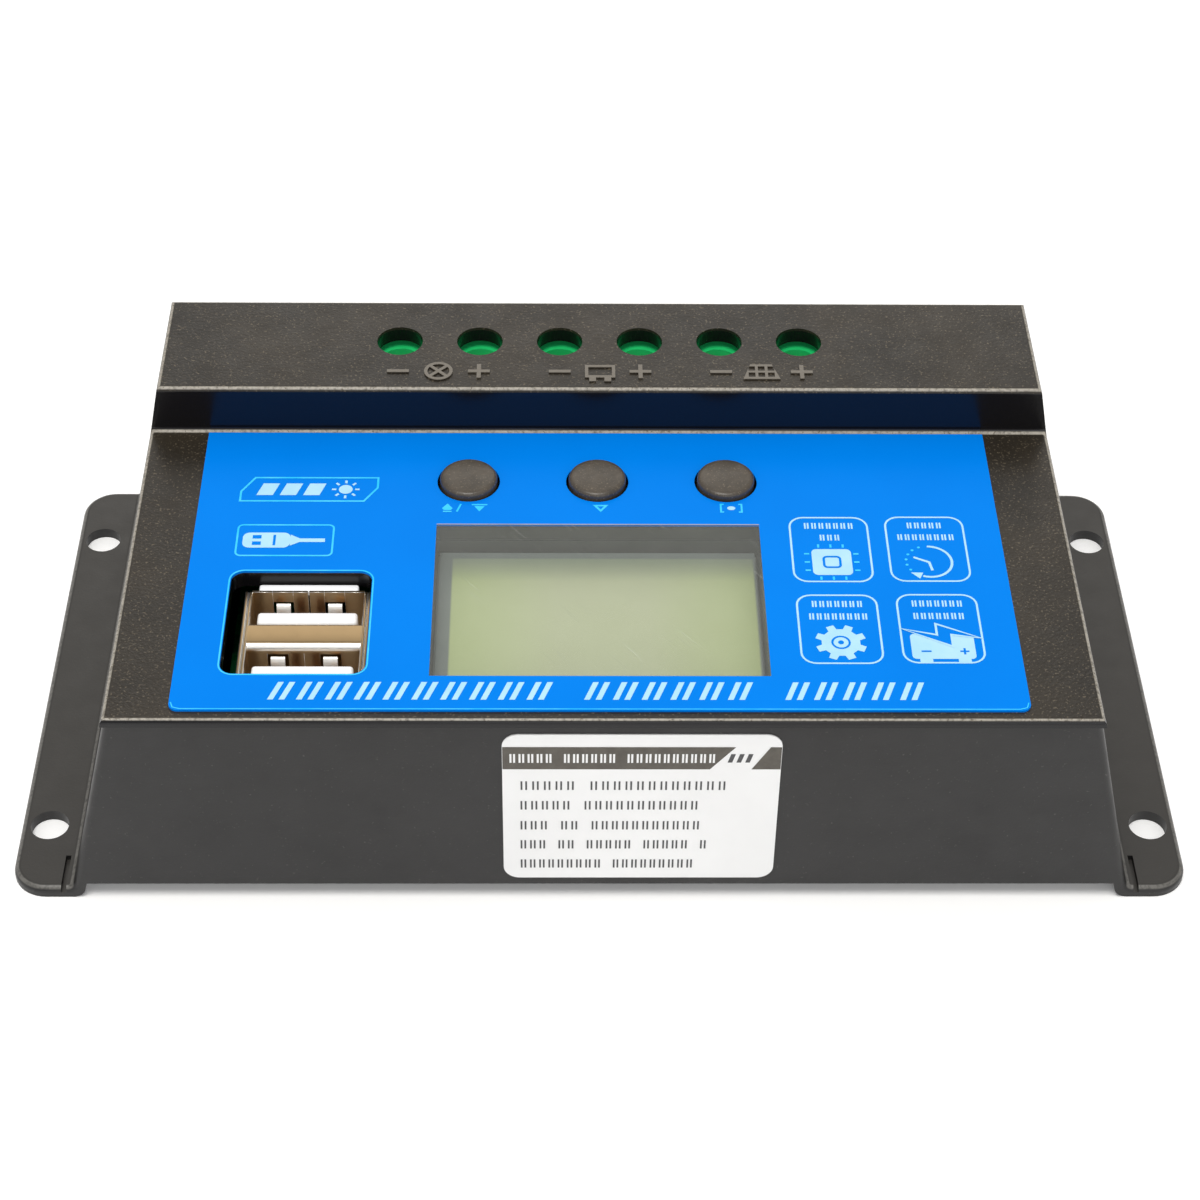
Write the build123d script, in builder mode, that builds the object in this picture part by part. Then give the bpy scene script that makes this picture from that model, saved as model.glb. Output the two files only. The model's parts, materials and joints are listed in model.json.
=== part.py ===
from build123d import *
import os
from math import cos, atan

# A small solar charge controller, in millimetres.
# +X runs along the row of terminals, +Y points to the wire side, +Z is up.
# The origin is on the mounting surface, under the middle of the overall footprint.

os.makedirs("parts", exist_ok=True)

# ---------------------------------------------------------------- driving dimensions

# Envelope
total_width = 133.5
total_depth = 70.0
total_height = 35.0

# Folded chassis
sheet = 1.4
ear_width = 7.15
ear_corner = 4.0
ear_hole_radius = 2.2
ear_hole_inset = 3.25
ear_hole_edge = 9.75
wall_lean = 6.2
base_raise = 2.2
bend_inner = 0.8
relief_length = 5.0
relief_width = 0.6

# Cover shell
lip_height = 1.0
lip_overhang = 0.5
side_lip = 0.3
hood_step = 6.5
hood_depth = 17.5
hood_slope = 0.2
rear_top_inset = 3.4
rear_foot_inset = 1.0
plate = 2.0
skirt_wall = 1.6
skirt_depth = 6.5
rear_wall = 1.7
fit_gap = 0.3
boss_radius = 3.2
boss_inset_x = 5.4
boss_front_inset = 8.0
boss_rear_inset = 9.2
pilot_radius = 1.25
pilot_depth = 11.0
edge_radius = 0.6

# Raised signs on the hood: minus and plus bars, a lamp, a battery and a solar panel
sign_relief = 0.2
sign_length = 2.6
sign_stroke = 0.5
lamp_radius = 1.7
outline_stroke = 0.4
battery_width = 3.6
battery_height = 2.4
battery_post_width = 0.8
battery_post_height = 0.7
battery_post_pitch = 1.8
panel_width = 4.4
panel_height = 2.8
panel_angle = 72
panel_cell_width = 0.8
panel_cell_height = 0.85
panel_cell_pitch_x = 1.15
panel_cell_pitch_y = 1.2

# Face film, display opening and label
film = 0.25
face_shift = -0.4
film_side_margin = 7.6
film_front_margin = 1.4
film_step_margin = 0.7
film_corner = 1.0
window_width = 37.0
window_depth = 25.0
window_front = 6.7
label_width = 30.2
label_height = 22.7
label_centre_x = 4.1
label_foot = 3.4
label_corner = 1.8
label_film = 0.15

# Display
glass_recess = 3.5
glass_thickness = 2.0
glass_margin = 0.1
backlight_thickness = 3.0
frame_wall = 1.2
frame_ledge = 1.5
frame_gap = 0.2
display_pin_count = 12
display_pin_pitch = 2.54
display_pin_radius = 0.25

# Buttons and their switches
button_count = 3
button_pitch = 15.0
button_step_inset = 9.7
button_radius = 3.35
button_gap = 0.3
button_proud = 0.85
button_dome = 0.45
button_flange = 1.0
button_flange_height = 0.8
button_travel = 0.5
switch_width = 6.0
switch_height = 3.5
switch_plate_thickness = 0.3
plunger_radius = 1.7
plunger_gap = 0.1
plunger_sink = 0.7

# Double USB socket
usb_left_x = -40.1
usb_width = 14.2
usb_rear = 22.3
usb_height = 16.5
usb_recess = 1.5
usb_skin = 0.3
port_width = 12.5
port_height = 5.1
port_divider = 3.5
port_depth = 12.4
tongue_width = 11.2
tongue_thickness = 1.9
tongue_offset = 2.1
tongue_recess = 1.0
backing_slab = 1.1
cutout_left_gap = 1.5
cutout_right_gap = 0.1
cutout_front_gap = 1.0
cutout_rear_gap = 0.2
cutout_corner = 1.5
spring_window_width = 2.3
spring_window_height = 2.0
spring_window_pitch = 5.8
spring_window_drop = 2.5
bridge_height = 2.0
strip_count = 4
strip_pitch = 2.3
strip_width = 1.0
strip_thickness = 0.25
strip_length = 8.0
strip_drop = 1.5

# Six-pole terminal block with rising cages
pole_count = 6
pole_pitch = 9.6
block_end_wall = 0.3
block_depth = 12.2
block_top_gap = 1.0
block_wall = 1.5
block_floor = 2.0
access_radius = 2.75
screw_head_radius = 2.3
screw_head_height = 2.2
screw_head_gap = 0.15
screw_cross_depth = 0.9
screw_cross_width = 0.8
screw_seat = 1.4
screw_radius = 1.75
screw_pitch = 0.6
screw_turns = 6
thread_gap = 0.1
cage_width = 6.5
cage_depth = 6.6
cage_side = 0.85
cage_top = 2.2
cage_bottom = 1.2
cage_gap = 0.35
contact_bar = 1.0
contact_width = 4.0
contact_leg_width = 3.0
wire_gap = 4.4
entry_width = 5.8
entry_corner = 1.0

# Circuit board and what holds it
board = 1.6
board_half_width = 43.5
board_front_inset = 4.5
board_rear_gap = 0.6
board_pin_length = 1.2
standoff_radius = 3.0
machine_screw_radius = 1.45
machine_hole_radius = 1.55
machine_head_radius = 2.7
machine_head_height = 1.7
machine_head_round = 0.55
machine_cross_width = 0.7
machine_cross_depth = 0.85
board_screw_points = [(-40.0, -5.5), (40.0, -26.0), (-40.0, 12.5), (40.0, 12.5)]

# Power transistors lying on the base panel
mosfet_count = 4
mosfet_pitch = 14.0
mosfet_front = -24.0
mosfet_width = 10.2
mosfet_body_length = 9.2
mosfet_body_height = 4.4
mosfet_tab_length = 6.5
mosfet_tab = 1.3
mosfet_bevel = 0.4
lead_width = 0.9
lead_pitch = 2.54
lead_run = 4.0
lead_thickness = 0.5
pad = 0.3
pad_margin = 2.0

# Components on the board
can_edge = 0.1
can_neck = 0.93
can_groove_place = 0.125
can_groove_height = 0.05
big_can_radius = 5.0
big_can_height = 12.5
big_can_place = (29.0, -7.0)
small_can_radius = 3.15
small_can_height = 8.0
small_can_place = (39.0, -5.0)
core_radius = 4.6
core_height = 6.0
core_flange = 1.0
core_waist = 2.6
coil_radius = 4.0
core_place = (31.0, -21.0)
chip_side = 10.0
chip_height = 1.5
chip_bevel = 0.25
chip_place = (-30.0, 6.5)
regulator_width = 5.0
regulator_depth = 4.0
regulator_place = (-30.0, -5.5)
diode_width = 4.4
diode_depth = 2.7
diode_place = (36.0, 5.0)
shunt_width = 12.0
shunt_depth = 3.0
shunt_height = 3.0
shunt_strip = 0.8
shunt_y = 12.0

# How near an edge has to lie to a place to be picked there
pick = 0.1

# ---------------------------------------------------------------- derived places

front_face = -total_depth / 2
rear_face = total_depth / 2
chassis_front = front_face + lip_overhang
chassis_inside = chassis_front + sheet
face_height = total_height - hood_step
hood_top = total_height - sign_relief
wall_top = face_height - lip_height
base_top = base_raise + sheet
foot_half = total_width / 2 - ear_width
wall_slope = wall_lean / (wall_top - sheet)
leaning_sheet = sheet / cos(atan(wall_slope))
plate_underside = face_height - plate

hood_front = rear_face - rear_top_inset - hood_depth
rear_top = rear_face - rear_top_inset
rear_foot = rear_face - rear_foot_inset
rear_inner = rear_top - rear_wall
rear_slope = (rear_foot - rear_top) / (total_height - base_top)

film_half = foot_half - wall_lean - film_side_margin + side_lip
film_front = front_face + film_front_margin
film_rear = hood_front - film_step_margin
window_y = front_face + window_front + window_depth / 2
button_y = hood_front - button_step_inset
button_xs = [face_shift + (index - (button_count - 1) / 2) * button_pitch for index in range(button_count)]
button_names = ["left", "middle", "right"]

board_top = face_height - usb_recess - usb_height
board_bottom = board_top - board
board_front = front_face + board_front_inset
board_rear = rear_inner - board_rear_gap

usb_x = usb_left_x + usb_width / 2
usb_top = board_top + usb_height
usb_rear_y = front_face + usb_rear
usb_depth = 2 * port_height + port_divider + 2 * usb_skin
usb_y = usb_rear_y - usb_depth / 2
port_rears = [usb_rear_y - usb_skin - index * (port_height + port_divider) for index in range(2)]
cutout_left = usb_left_x - cutout_left_gap
cutout_right = usb_left_x + usb_width + cutout_right_gap
cutout_front = usb_rear_y - usb_depth - cutout_front_gap
cutout_rear = usb_rear_y + backing_slab + cutout_rear_gap

block_rear = rear_inner - fit_gap
block_front = block_rear - block_depth
block_half = pole_count * pole_pitch / 2 + block_end_wall
block_top = total_height - sign_relief - plate - block_top_gap
terminal_y = block_rear - block_depth / 2
sign_y = (hood_front + terminal_y - access_radius) / 2
pole_xs = [(index - (pole_count - 1) / 2) * pole_pitch for index in range(pole_count)]
screw_travel = screw_turns * screw_pitch
chamber_floor = board_top + block_floor
cage_floor = chamber_floor + cage_gap
wire_floor = cage_floor + cage_bottom
bar_bottom = wire_floor + wire_gap
bar_top = bar_bottom + contact_bar
cage_window_top = bar_top + cage_gap
cage_height = cage_window_top + cage_top - cage_floor
chamber_top = cage_floor + cage_height + screw_travel + cage_gap
screw_seat_top = chamber_top + screw_seat
screw_tip = bar_top + cage_gap
chamber_front = block_front + block_wall
chamber_rear = block_rear - block_wall
chamber_half = cage_width / 2 + cage_gap
entry_height = wire_gap + cage_gap

glass_top = face_height - glass_recess
glass_bottom = glass_top - glass_thickness
backlight_bottom = glass_bottom - backlight_thickness
frame_top = plate_underside - frame_gap
glass_width = window_width - 2 * glass_margin
glass_depth = window_depth - 2 * glass_margin
frame_width = window_width + 2 * frame_wall
frame_depth = window_depth + 2 * frame_wall

boss_points = [
    (side * (foot_half - wall_lean - boss_inset_x), y)
    for side in (-1, 1)
    for y in (front_face + boss_front_inset, rear_face - boss_rear_inset)
]


def outer_half(z):
    """Half width between the outer faces of the leaning chassis walls at height z."""
    return foot_half - wall_slope * (z - sheet)


def inner_half(z):
    """Half width between the inner faces of the leaning chassis walls at height z."""
    return outer_half(z) - leaning_sheet


def cover_half(z):
    """Half width of the cover above the chassis walls at height z."""
    return foot_half - wall_lean + side_lip - hood_slope * (z - wall_top)


def rear_at(z):
    """Position of the cover's leaning rear face at height z."""
    return rear_top + rear_slope * (total_height - z)


def across(y):
    """Upright plane across the depth at y, facing the front."""
    return Plane.XZ.offset(-y)


def level(z):
    """Horizontal plane at height z."""
    return Plane.XY.offset(z)


def finish_piece(builder, name):
    """Label a finished piece and write it under its own name."""
    builder.part.label = name
    export_step(builder.part, "parts/" + name + ".step")


# ---------------------------------------------------------------- chassis

chassis_length = rear_face - chassis_front

with BuildPart() as chassis:
    # Leaning side walls with the ears folded out at their feet
    for side in (-1, 1):
        with BuildSketch(across(rear_face)) as wall_profile:
            with BuildLine():
                Polyline(
                    (side * total_width / 2, 0),
                    (side * total_width / 2, sheet),
                    (side * foot_half, sheet),
                    (side * outer_half(wall_top), wall_top),
                    (side * inner_half(wall_top), wall_top),
                    (side * inner_half(0), 0),
                    close=True,
                )
            make_face()
            inside_bend = wall_profile.vertices().sort_by_distance((side * foot_half, sheet))[0]
            fillet(inside_bend, bend_inner)
            outside_bend = wall_profile.vertices().sort_by_distance((side * inner_half(0), 0))[0]
            fillet(outside_bend, bend_inner + sheet / 2)
        extrude(amount=chassis_length)
    # Rounded outer corners of the ears
    ear_corners = chassis.edges().filter_by(Axis.Z)
    ear_corners = ear_corners.filter_by(lambda edge: abs(edge.center().X) > total_width / 2 - pick)
    fillet(ear_corners, ear_corner)
    # Front wall between the side walls
    with BuildSketch(across(chassis_inside)):
        with BuildLine():
            Polyline(
                (-outer_half(base_raise), base_raise),
                (outer_half(base_raise), base_raise),
                (outer_half(wall_top), wall_top),
                (-outer_half(wall_top), wall_top),
                close=True,
            )
        make_face()
    extrude(amount=sheet)
    # Base panel folded back from the foot of the front wall
    with BuildSketch(level(base_raise)):
        with Locations((0, (chassis_front + rear_face) / 2)):
            Rectangle(2 * (inner_half(base_raise) - fit_gap), chassis_length)
    extrude(amount=sheet)
    # Rounded upright corners where the front wall turns into the side walls
    upright = chassis.edges().filter_by(lambda edge: edge.length > wall_top / 2)
    upright = upright.filter_by(lambda edge: abs(edge.center().Y - chassis_front) < pick)
    upright = upright.filter_by(lambda edge: abs(abs(edge.center().X) - outer_half(wall_top / 2)) < sheet)
    fillet(upright, bend_inner)
    # Relief slots at the front end of each ear bend
    with BuildSketch(level(sheet)):
        for side in (-1, 1):
            slot_x = side * (foot_half + bend_inner + relief_width / 2)
            with Locations((slot_x, chassis_front + relief_length / 2)):
                Rectangle(relief_width, relief_length)
    extrude(amount=-sheet / 2, mode=Mode.SUBTRACT)
    # Mounting holes
    hole_spacing_x = total_width - 2 * ear_hole_inset
    hole_spacing_y = chassis_length - 2 * ear_hole_edge
    with Locations(level(sheet)):
        with Locations((0, (chassis_front + rear_face) / 2)):
            with GridLocations(hole_spacing_x, hole_spacing_y, 2, 2):
                Hole(ear_hole_radius, depth=sheet)
    # Screw holes in the base panel
    with Locations(level(base_top)):
        with Locations(boss_points + board_screw_points):
            Hole(machine_hole_radius, depth=sheet)
        with Locations((0, mosfet_front + mosfet_tab_length / 2)):
            with GridLocations(mosfet_pitch, 1, mosfet_count, 1):
                Hole(machine_hole_radius, depth=sheet)
finish_piece(chassis, "chassis")

# ---------------------------------------------------------------- top cover

with BuildPart() as cover_skirt:
    # The part of the shell that nests inside the chassis walls
    skirt_front = chassis_inside + fit_gap
    skirt_bottom = wall_top - skirt_depth
    rear_bottom = base_top + fit_gap
    with BuildSketch(Plane.YZ.offset(-total_width / 2)):
        with BuildLine():
            Polyline(
                (skirt_front, wall_top),
                (skirt_front, skirt_bottom),
                (rear_inner, skirt_bottom),
                (rear_inner, rear_bottom),
                (rear_at(rear_bottom), rear_bottom),
                (rear_at(wall_top), wall_top),
                close=True,
            )
        make_face()
    extrude(amount=total_width)
    with BuildSketch(across(rear_face)):
        with BuildLine():
            Polyline(
                (-inner_half(wall_top) + fit_gap, wall_top),
                (-inner_half(0) + fit_gap, 0),
                (inner_half(0) - fit_gap, 0),
                (inner_half(wall_top) - fit_gap, wall_top),
                close=True,
            )
        make_face()
    extrude(amount=total_depth, mode=Mode.INTERSECT)

with BuildPart() as cover_cavity:
    # The hollow inside the shell, higher under the terminal hood
    with BuildSketch(Plane.YZ.offset(-total_width / 2)):
        with BuildLine():
            Polyline(
                (skirt_front + skirt_wall, 0),
                (skirt_front + skirt_wall, plate_underside),
                (hood_front + plate, plate_underside),
                (hood_front + plate, hood_top - plate),
                (rear_inner, hood_top - plate),
                (rear_inner, 0),
                close=True,
            )
        make_face()
    extrude(amount=total_width)
    with BuildSketch(across(rear_face)):
        with BuildLine():
            Polyline(
                (-inner_half(0) + fit_gap + skirt_wall, 0),
                (-inner_half(wall_top) + fit_gap + skirt_wall, wall_top),
                (-cover_half(total_height) + plate, total_height),
                (cover_half(total_height) - plate, total_height),
                (inner_half(wall_top) - fit_gap - skirt_wall, wall_top),
                (inner_half(0) - fit_gap - skirt_wall, 0),
                close=True,
            )
        make_face()
    extrude(amount=total_depth, mode=Mode.INTERSECT)

with BuildPart() as top_cover:
    # Visible upper body: face plate with the raised terminal hood behind it
    with BuildSketch(Plane.YZ.offset(-total_width / 2)):
        with BuildLine():
            Polyline(
                (front_face, wall_top),
                (front_face, face_height),
                (hood_front, face_height),
                (hood_front, hood_top),
                (rear_top, hood_top),
                (rear_at(wall_top), wall_top),
                close=True,
            )
        make_face()
    extrude(amount=total_width)
    with BuildSketch(across(rear_face)):
        with BuildLine():
            Polyline(
                (-cover_half(wall_top), wall_top),
                (-cover_half(total_height), total_height),
                (cover_half(total_height), total_height),
                (cover_half(wall_top), wall_top),
                close=True,
            )
        make_face()
    extrude(amount=total_depth, mode=Mode.INTERSECT)
    # Softened outer edges and the small fillet at the foot of the hood
    hood_edges = top_cover.edges().group_by(Axis.Z)[-1]
    face_edges = top_cover.edges().filter_by(lambda edge: abs(edge.center().Z - face_height) < pick)
    fillet(hood_edges + face_edges, edge_radius)
    add(cover_skirt.part)
    add(cover_cavity.part, mode=Mode.SUBTRACT)
    # Screw bosses reaching down to the base panel
    with BuildSketch(level(base_top)):
        with Locations(boss_points):
            Circle(boss_radius)
    extrude(until=Until.NEXT)
    with BuildSketch(level(base_top)):
        with Locations(boss_points):
            Circle(pilot_radius)
    extrude(amount=pilot_depth, mode=Mode.SUBTRACT)
    # Openings in the face plate
    with BuildSketch(level(face_height)):
        with Locations((face_shift, window_y)):
            Rectangle(window_width, window_depth)
        with Locations([(x, button_y) for x in button_xs]):
            Circle(button_radius + button_gap)
        with Locations(((cutout_left + cutout_right) / 2, (cutout_front + cutout_rear) / 2)):
            RectangleRounded(cutout_right - cutout_left, cutout_rear - cutout_front, cutout_corner)
    extrude(amount=-plate, mode=Mode.SUBTRACT)
    # Screwdriver holes in the hood's roof
    with Locations(level(hood_top)):
        with Locations((0, terminal_y)):
            with GridLocations(pole_pitch, 1, pole_count, 1):
                Hole(access_radius, depth=plate)
    # Wire entries through the rear wall
    with BuildSketch(across(rear_face)):
        with Locations([(x, (wire_floor + bar_bottom) / 2) for x in pole_xs]):
            RectangleRounded(entry_width + 2 * fit_gap, entry_height + 2 * fit_gap, entry_corner)
    extrude(amount=rear_face - rear_inner, mode=Mode.SUBTRACT)
    # Raised signs beside the screwdriver holes
    with BuildSketch(level(hood_top)):
        for index, x in enumerate(pole_xs):
            with Locations((x, sign_y)):
                Rectangle(sign_length, sign_stroke)
                if index % 2:
                    Rectangle(sign_stroke, sign_length)
        # Lamp
        with Locations(((pole_xs[0] + pole_xs[1]) / 2, sign_y)):
            Circle(lamp_radius)
            Circle(lamp_radius - outline_stroke, mode=Mode.SUBTRACT)
            Rectangle(2 * lamp_radius - outline_stroke, outline_stroke, rotation=45)
            Rectangle(2 * lamp_radius - outline_stroke, outline_stroke, rotation=-45)
        # Battery
        battery_x = (pole_xs[2] + pole_xs[3]) / 2
        with Locations((battery_x, sign_y)):
            Rectangle(battery_width, battery_height)
            Rectangle(
                battery_width - 2 * outline_stroke, battery_height - 2 * outline_stroke, mode=Mode.SUBTRACT
            )
        with Locations((battery_x, sign_y - (battery_height + battery_post_height) / 2)):
            with GridLocations(battery_post_pitch, 1, 2, 1):
                Rectangle(battery_post_width, battery_post_height)
        # Solar panel
        with Locations(((pole_xs[4] + pole_xs[5]) / 2, sign_y)):
            Trapezoid(panel_width, panel_height, panel_angle)
            with GridLocations(panel_cell_pitch_x, panel_cell_pitch_y, 3, 2):
                Rectangle(panel_cell_width, panel_cell_height, mode=Mode.SUBTRACT)
    extrude(amount=sign_relief)
finish_piece(top_cover, "top_cover")

# ---------------------------------------------------------------- face film and label

with BuildPart() as face_overlay:
    # Printed film with openings for the display, the buttons and the USB socket
    with BuildSketch(level(face_height)) as film_outline:
        with Locations((face_shift, (film_front + film_rear) / 2)):
            Rectangle(2 * film_half, film_rear - film_front)
        near_corners = film_outline.vertices().group_by(Axis.Y)[0]
        fillet(near_corners, film_corner)
        with Locations((face_shift, window_y)):
            Rectangle(window_width, window_depth, mode=Mode.SUBTRACT)
        with Locations([(x, button_y) for x in button_xs]):
            Circle(button_radius + button_gap, mode=Mode.SUBTRACT)
        with Locations(((cutout_left + cutout_right) / 2, (cutout_front + cutout_rear) / 2)):
            RectangleRounded(
                cutout_right - cutout_left, cutout_rear - cutout_front, cutout_corner, mode=Mode.SUBTRACT
            )
    extrude(amount=film)
finish_piece(face_overlay, "face_overlay")

with BuildPart() as display_window:
    # Clear pane that fills the display opening of the film
    with BuildSketch(level(face_height)):
        with Locations((face_shift, window_y)):
            Rectangle(window_width, window_depth)
    extrude(amount=film)
finish_piece(display_window, "display_window")

with BuildPart() as rating_label:
    with BuildSketch(across(chassis_front)):
        with Locations((label_centre_x, label_foot + label_height / 2)):
            RectangleRounded(label_width, label_height, label_corner)
    extrude(amount=label_film)
finish_piece(rating_label, "rating_label")

# ---------------------------------------------------------------- display

with BuildPart() as lcd_frame:
    # Open tower that stands on the board and holds the glass under the window
    with BuildSketch(level(board_top)):
        with Locations((face_shift, window_y)):
            Rectangle(frame_width, frame_depth)
            Rectangle(frame_width - 2 * frame_ledge, glass_depth, mode=Mode.SUBTRACT)
    extrude(amount=frame_top - board_top)
    with BuildSketch(level(backlight_bottom)):
        with Locations((face_shift, window_y)):
            Rectangle(window_width, window_depth)
    extrude(amount=frame_top - backlight_bottom, mode=Mode.SUBTRACT)
finish_piece(lcd_frame, "lcd_frame")

with BuildPart() as lcd_glass:
    with BuildSketch(level(glass_bottom)):
        with Locations((face_shift, window_y)):
            Rectangle(glass_width, glass_depth)
    extrude(amount=glass_thickness)
finish_piece(lcd_glass, "lcd_glass")

# The light guide stops short of the row of display pins
pin_row_y = window_y - glass_depth / 2 + 3 * display_pin_radius
backlight_front = pin_row_y + 3 * display_pin_radius
backlight_rear = window_y + glass_depth / 2

with BuildPart() as lcd_backlight:
    with BuildSketch(level(backlight_bottom)):
        with Locations((face_shift, (backlight_front + backlight_rear) / 2)):
            Rectangle(glass_width, backlight_rear - backlight_front)
    extrude(amount=backlight_thickness)
finish_piece(lcd_backlight, "lcd_backlight")

with BuildPart() as lcd_pins:
    with BuildSketch(level(board_bottom - board_pin_length)):
        with Locations((face_shift, pin_row_y)):
            with GridLocations(display_pin_pitch, 1, display_pin_count, 1):
                Circle(display_pin_radius)
    extrude(amount=glass_bottom - board_bottom + board_pin_length)
finish_piece(lcd_pins, "lcd_pins")

# ---------------------------------------------------------------- buttons and switches

cap_underside = plate_underside - fit_gap / 2 - button_flange_height
cap_shoulder = face_height + button_proud
plunger_bottom = board_top + switch_height - plunger_sink
dome_sphere = (button_radius ** 2 + button_dome ** 2) / (2 * button_dome)

for name, x in zip(button_names, button_xs):
    with BuildPart() as button:
        # Flanged cap with a shallow domed top, turned about its own axis
        with BuildSketch(Plane.XZ.offset(-button_y)):
            with BuildLine():
                Polyline(
                    (x, cap_shoulder + button_dome),
                    (x, cap_underside),
                    (x + button_radius + button_flange, cap_underside),
                    (x + button_radius + button_flange, cap_underside + button_flange_height),
                    (x + button_radius, cap_underside + button_flange_height),
                    (x + button_radius, cap_shoulder),
                )
                RadiusArc((x + button_radius, cap_shoulder), (x, cap_shoulder + button_dome), -dome_sphere)
            make_face()
        revolve(axis=Axis((x, button_y, 0), (0, 0, 1)))
        rim = button.edges().filter_by(lambda edge: abs(edge.center().Z - cap_shoulder) < pick)
        fillet(rim, button_dome / 2)
    finish_piece(button, "button_" + name)

    with BuildPart() as plunger:
        with BuildSketch(level(plunger_bottom)):
            with Locations((x, button_y)):
                Circle(plunger_radius)
        extrude(amount=cap_underside - plunger_bottom)
    finish_piece(plunger, "switch_plunger_" + name)

with BuildPart() as switch_bodies:
    pocket_depth = plunger_sink + button_travel + fit_gap
    with BuildSketch(level(board_top)):
        with Locations([(x, button_y) for x in button_xs]):
            Rectangle(switch_width, switch_width)
    extrude(amount=switch_height)
    with BuildSketch(level(board_top + switch_height)):
        with Locations([(x, button_y) for x in button_xs]):
            Circle(plunger_radius + plunger_gap)
    extrude(amount=-pocket_depth, mode=Mode.SUBTRACT)
finish_piece(switch_bodies, "switch_bodies")

with BuildPart() as switch_plates:
    with BuildSketch(level(board_top + switch_height)):
        with Locations([(x, button_y) for x in button_xs]):
            Rectangle(switch_width, switch_width)
            Circle(plunger_radius + plunger_gap, mode=Mode.SUBTRACT)
    extrude(amount=switch_plate_thickness)
finish_piece(switch_plates, "switch_plates")

# ---------------------------------------------------------------- double USB socket

port_floor = usb_top - port_depth
port_ys = [rear - port_height / 2 for rear in port_rears]
tongue_ys = [rear - tongue_offset - tongue_thickness / 2 for rear in port_rears]

with BuildPart() as usb_shell:
    with BuildSketch(level(board_top)):
        with Locations((usb_x, usb_y)):
            Rectangle(usb_width, usb_depth)
    extrude(amount=usb_height)
    # Plug spaces, and the lower hollow that takes the insulator
    with BuildSketch(level(usb_top)):
        with Locations([(usb_x, y) for y in port_ys]):
            Rectangle(port_width, port_height)
    extrude(amount=-port_depth, mode=Mode.SUBTRACT)
    with BuildSketch(level(board_top)):
        with Locations((usb_x, usb_y)):
            Rectangle(usb_width - 2 * usb_skin, usb_depth - 2 * usb_skin)
    extrude(amount=port_floor - board_top, mode=Mode.SUBTRACT)
    # Hollow of the divider
    divider_y = (port_ys[0] + port_ys[1]) / 2
    with BuildSketch(level(port_floor)):
        with Locations((usb_x, divider_y)):
            Rectangle(port_width, port_divider - 2 * usb_skin)
    extrude(amount=port_depth - usb_skin, mode=Mode.SUBTRACT)
    # Spring windows in the rear wall of each port
    with BuildSketch(across(usb_rear_y)):
        with Locations((usb_x, usb_top - spring_window_drop)):
            with GridLocations(spring_window_pitch, 1, 2, 1):
                Rectangle(spring_window_width, spring_window_height)
    extrude(amount=usb_depth - port_height, mode=Mode.SUBTRACT)
    # Notch in the foot of the rear wall for the insulator's bridge
    with BuildSketch(level(board_top)):
        with Locations((usb_x, usb_rear_y - usb_skin / 2)):
            Rectangle(tongue_width, usb_skin)
    extrude(amount=bridge_height, mode=Mode.SUBTRACT)
    lip_edges = usb_shell.faces().sort_by(Axis.Z)[-1].outer_wire().edges()
    fillet(lip_edges, usb_skin / 2)
finish_piece(usb_shell, "usb_shell")

with BuildPart() as usb_insulator:
    # Base block under the ports, two contact tongues, and the slab bridged to it behind the shell
    with BuildSketch(level(board_top)):
        with Locations((usb_x, usb_y)):
            Rectangle(usb_width - 2 * usb_skin, usb_depth - 2 * usb_skin)
    extrude(amount=port_floor - board_top)
    with BuildSketch(level(port_floor)):
        with Locations([(usb_x, y) for y in tongue_ys]):
            Rectangle(tongue_width, tongue_thickness)
    extrude(amount=port_depth - tongue_recess)
    with BuildSketch(level(board_top)):
        with Locations((usb_x, usb_rear_y + backing_slab / 2)):
            Rectangle(tongue_width, backing_slab)
    extrude(amount=usb_height)
    with BuildSketch(level(board_top)):
        with Locations((usb_x, usb_rear_y - usb_skin / 2)):
            Rectangle(tongue_width, usb_skin)
    extrude(amount=bridge_height)
finish_piece(usb_insulator, "usb_insulator")

with BuildPart() as usb_contacts:
    # Four spring strips on the rear face of each tongue
    strip_top = usb_top - tongue_recess - strip_drop
    strip_ys = [y + (tongue_thickness + strip_thickness) / 2 for y in tongue_ys]
    with BuildSketch(level(strip_top)):
        for y in strip_ys:
            with Locations((usb_x, y)):
                with GridLocations(strip_pitch, 1, strip_count, 1):
                    Rectangle(strip_width, strip_thickness)
    extrude(amount=-strip_length)
finish_piece(usb_contacts, "usb_contacts")

# ---------------------------------------------------------------- terminal block

leg_y = chamber_front + contact_bar / 2

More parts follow.
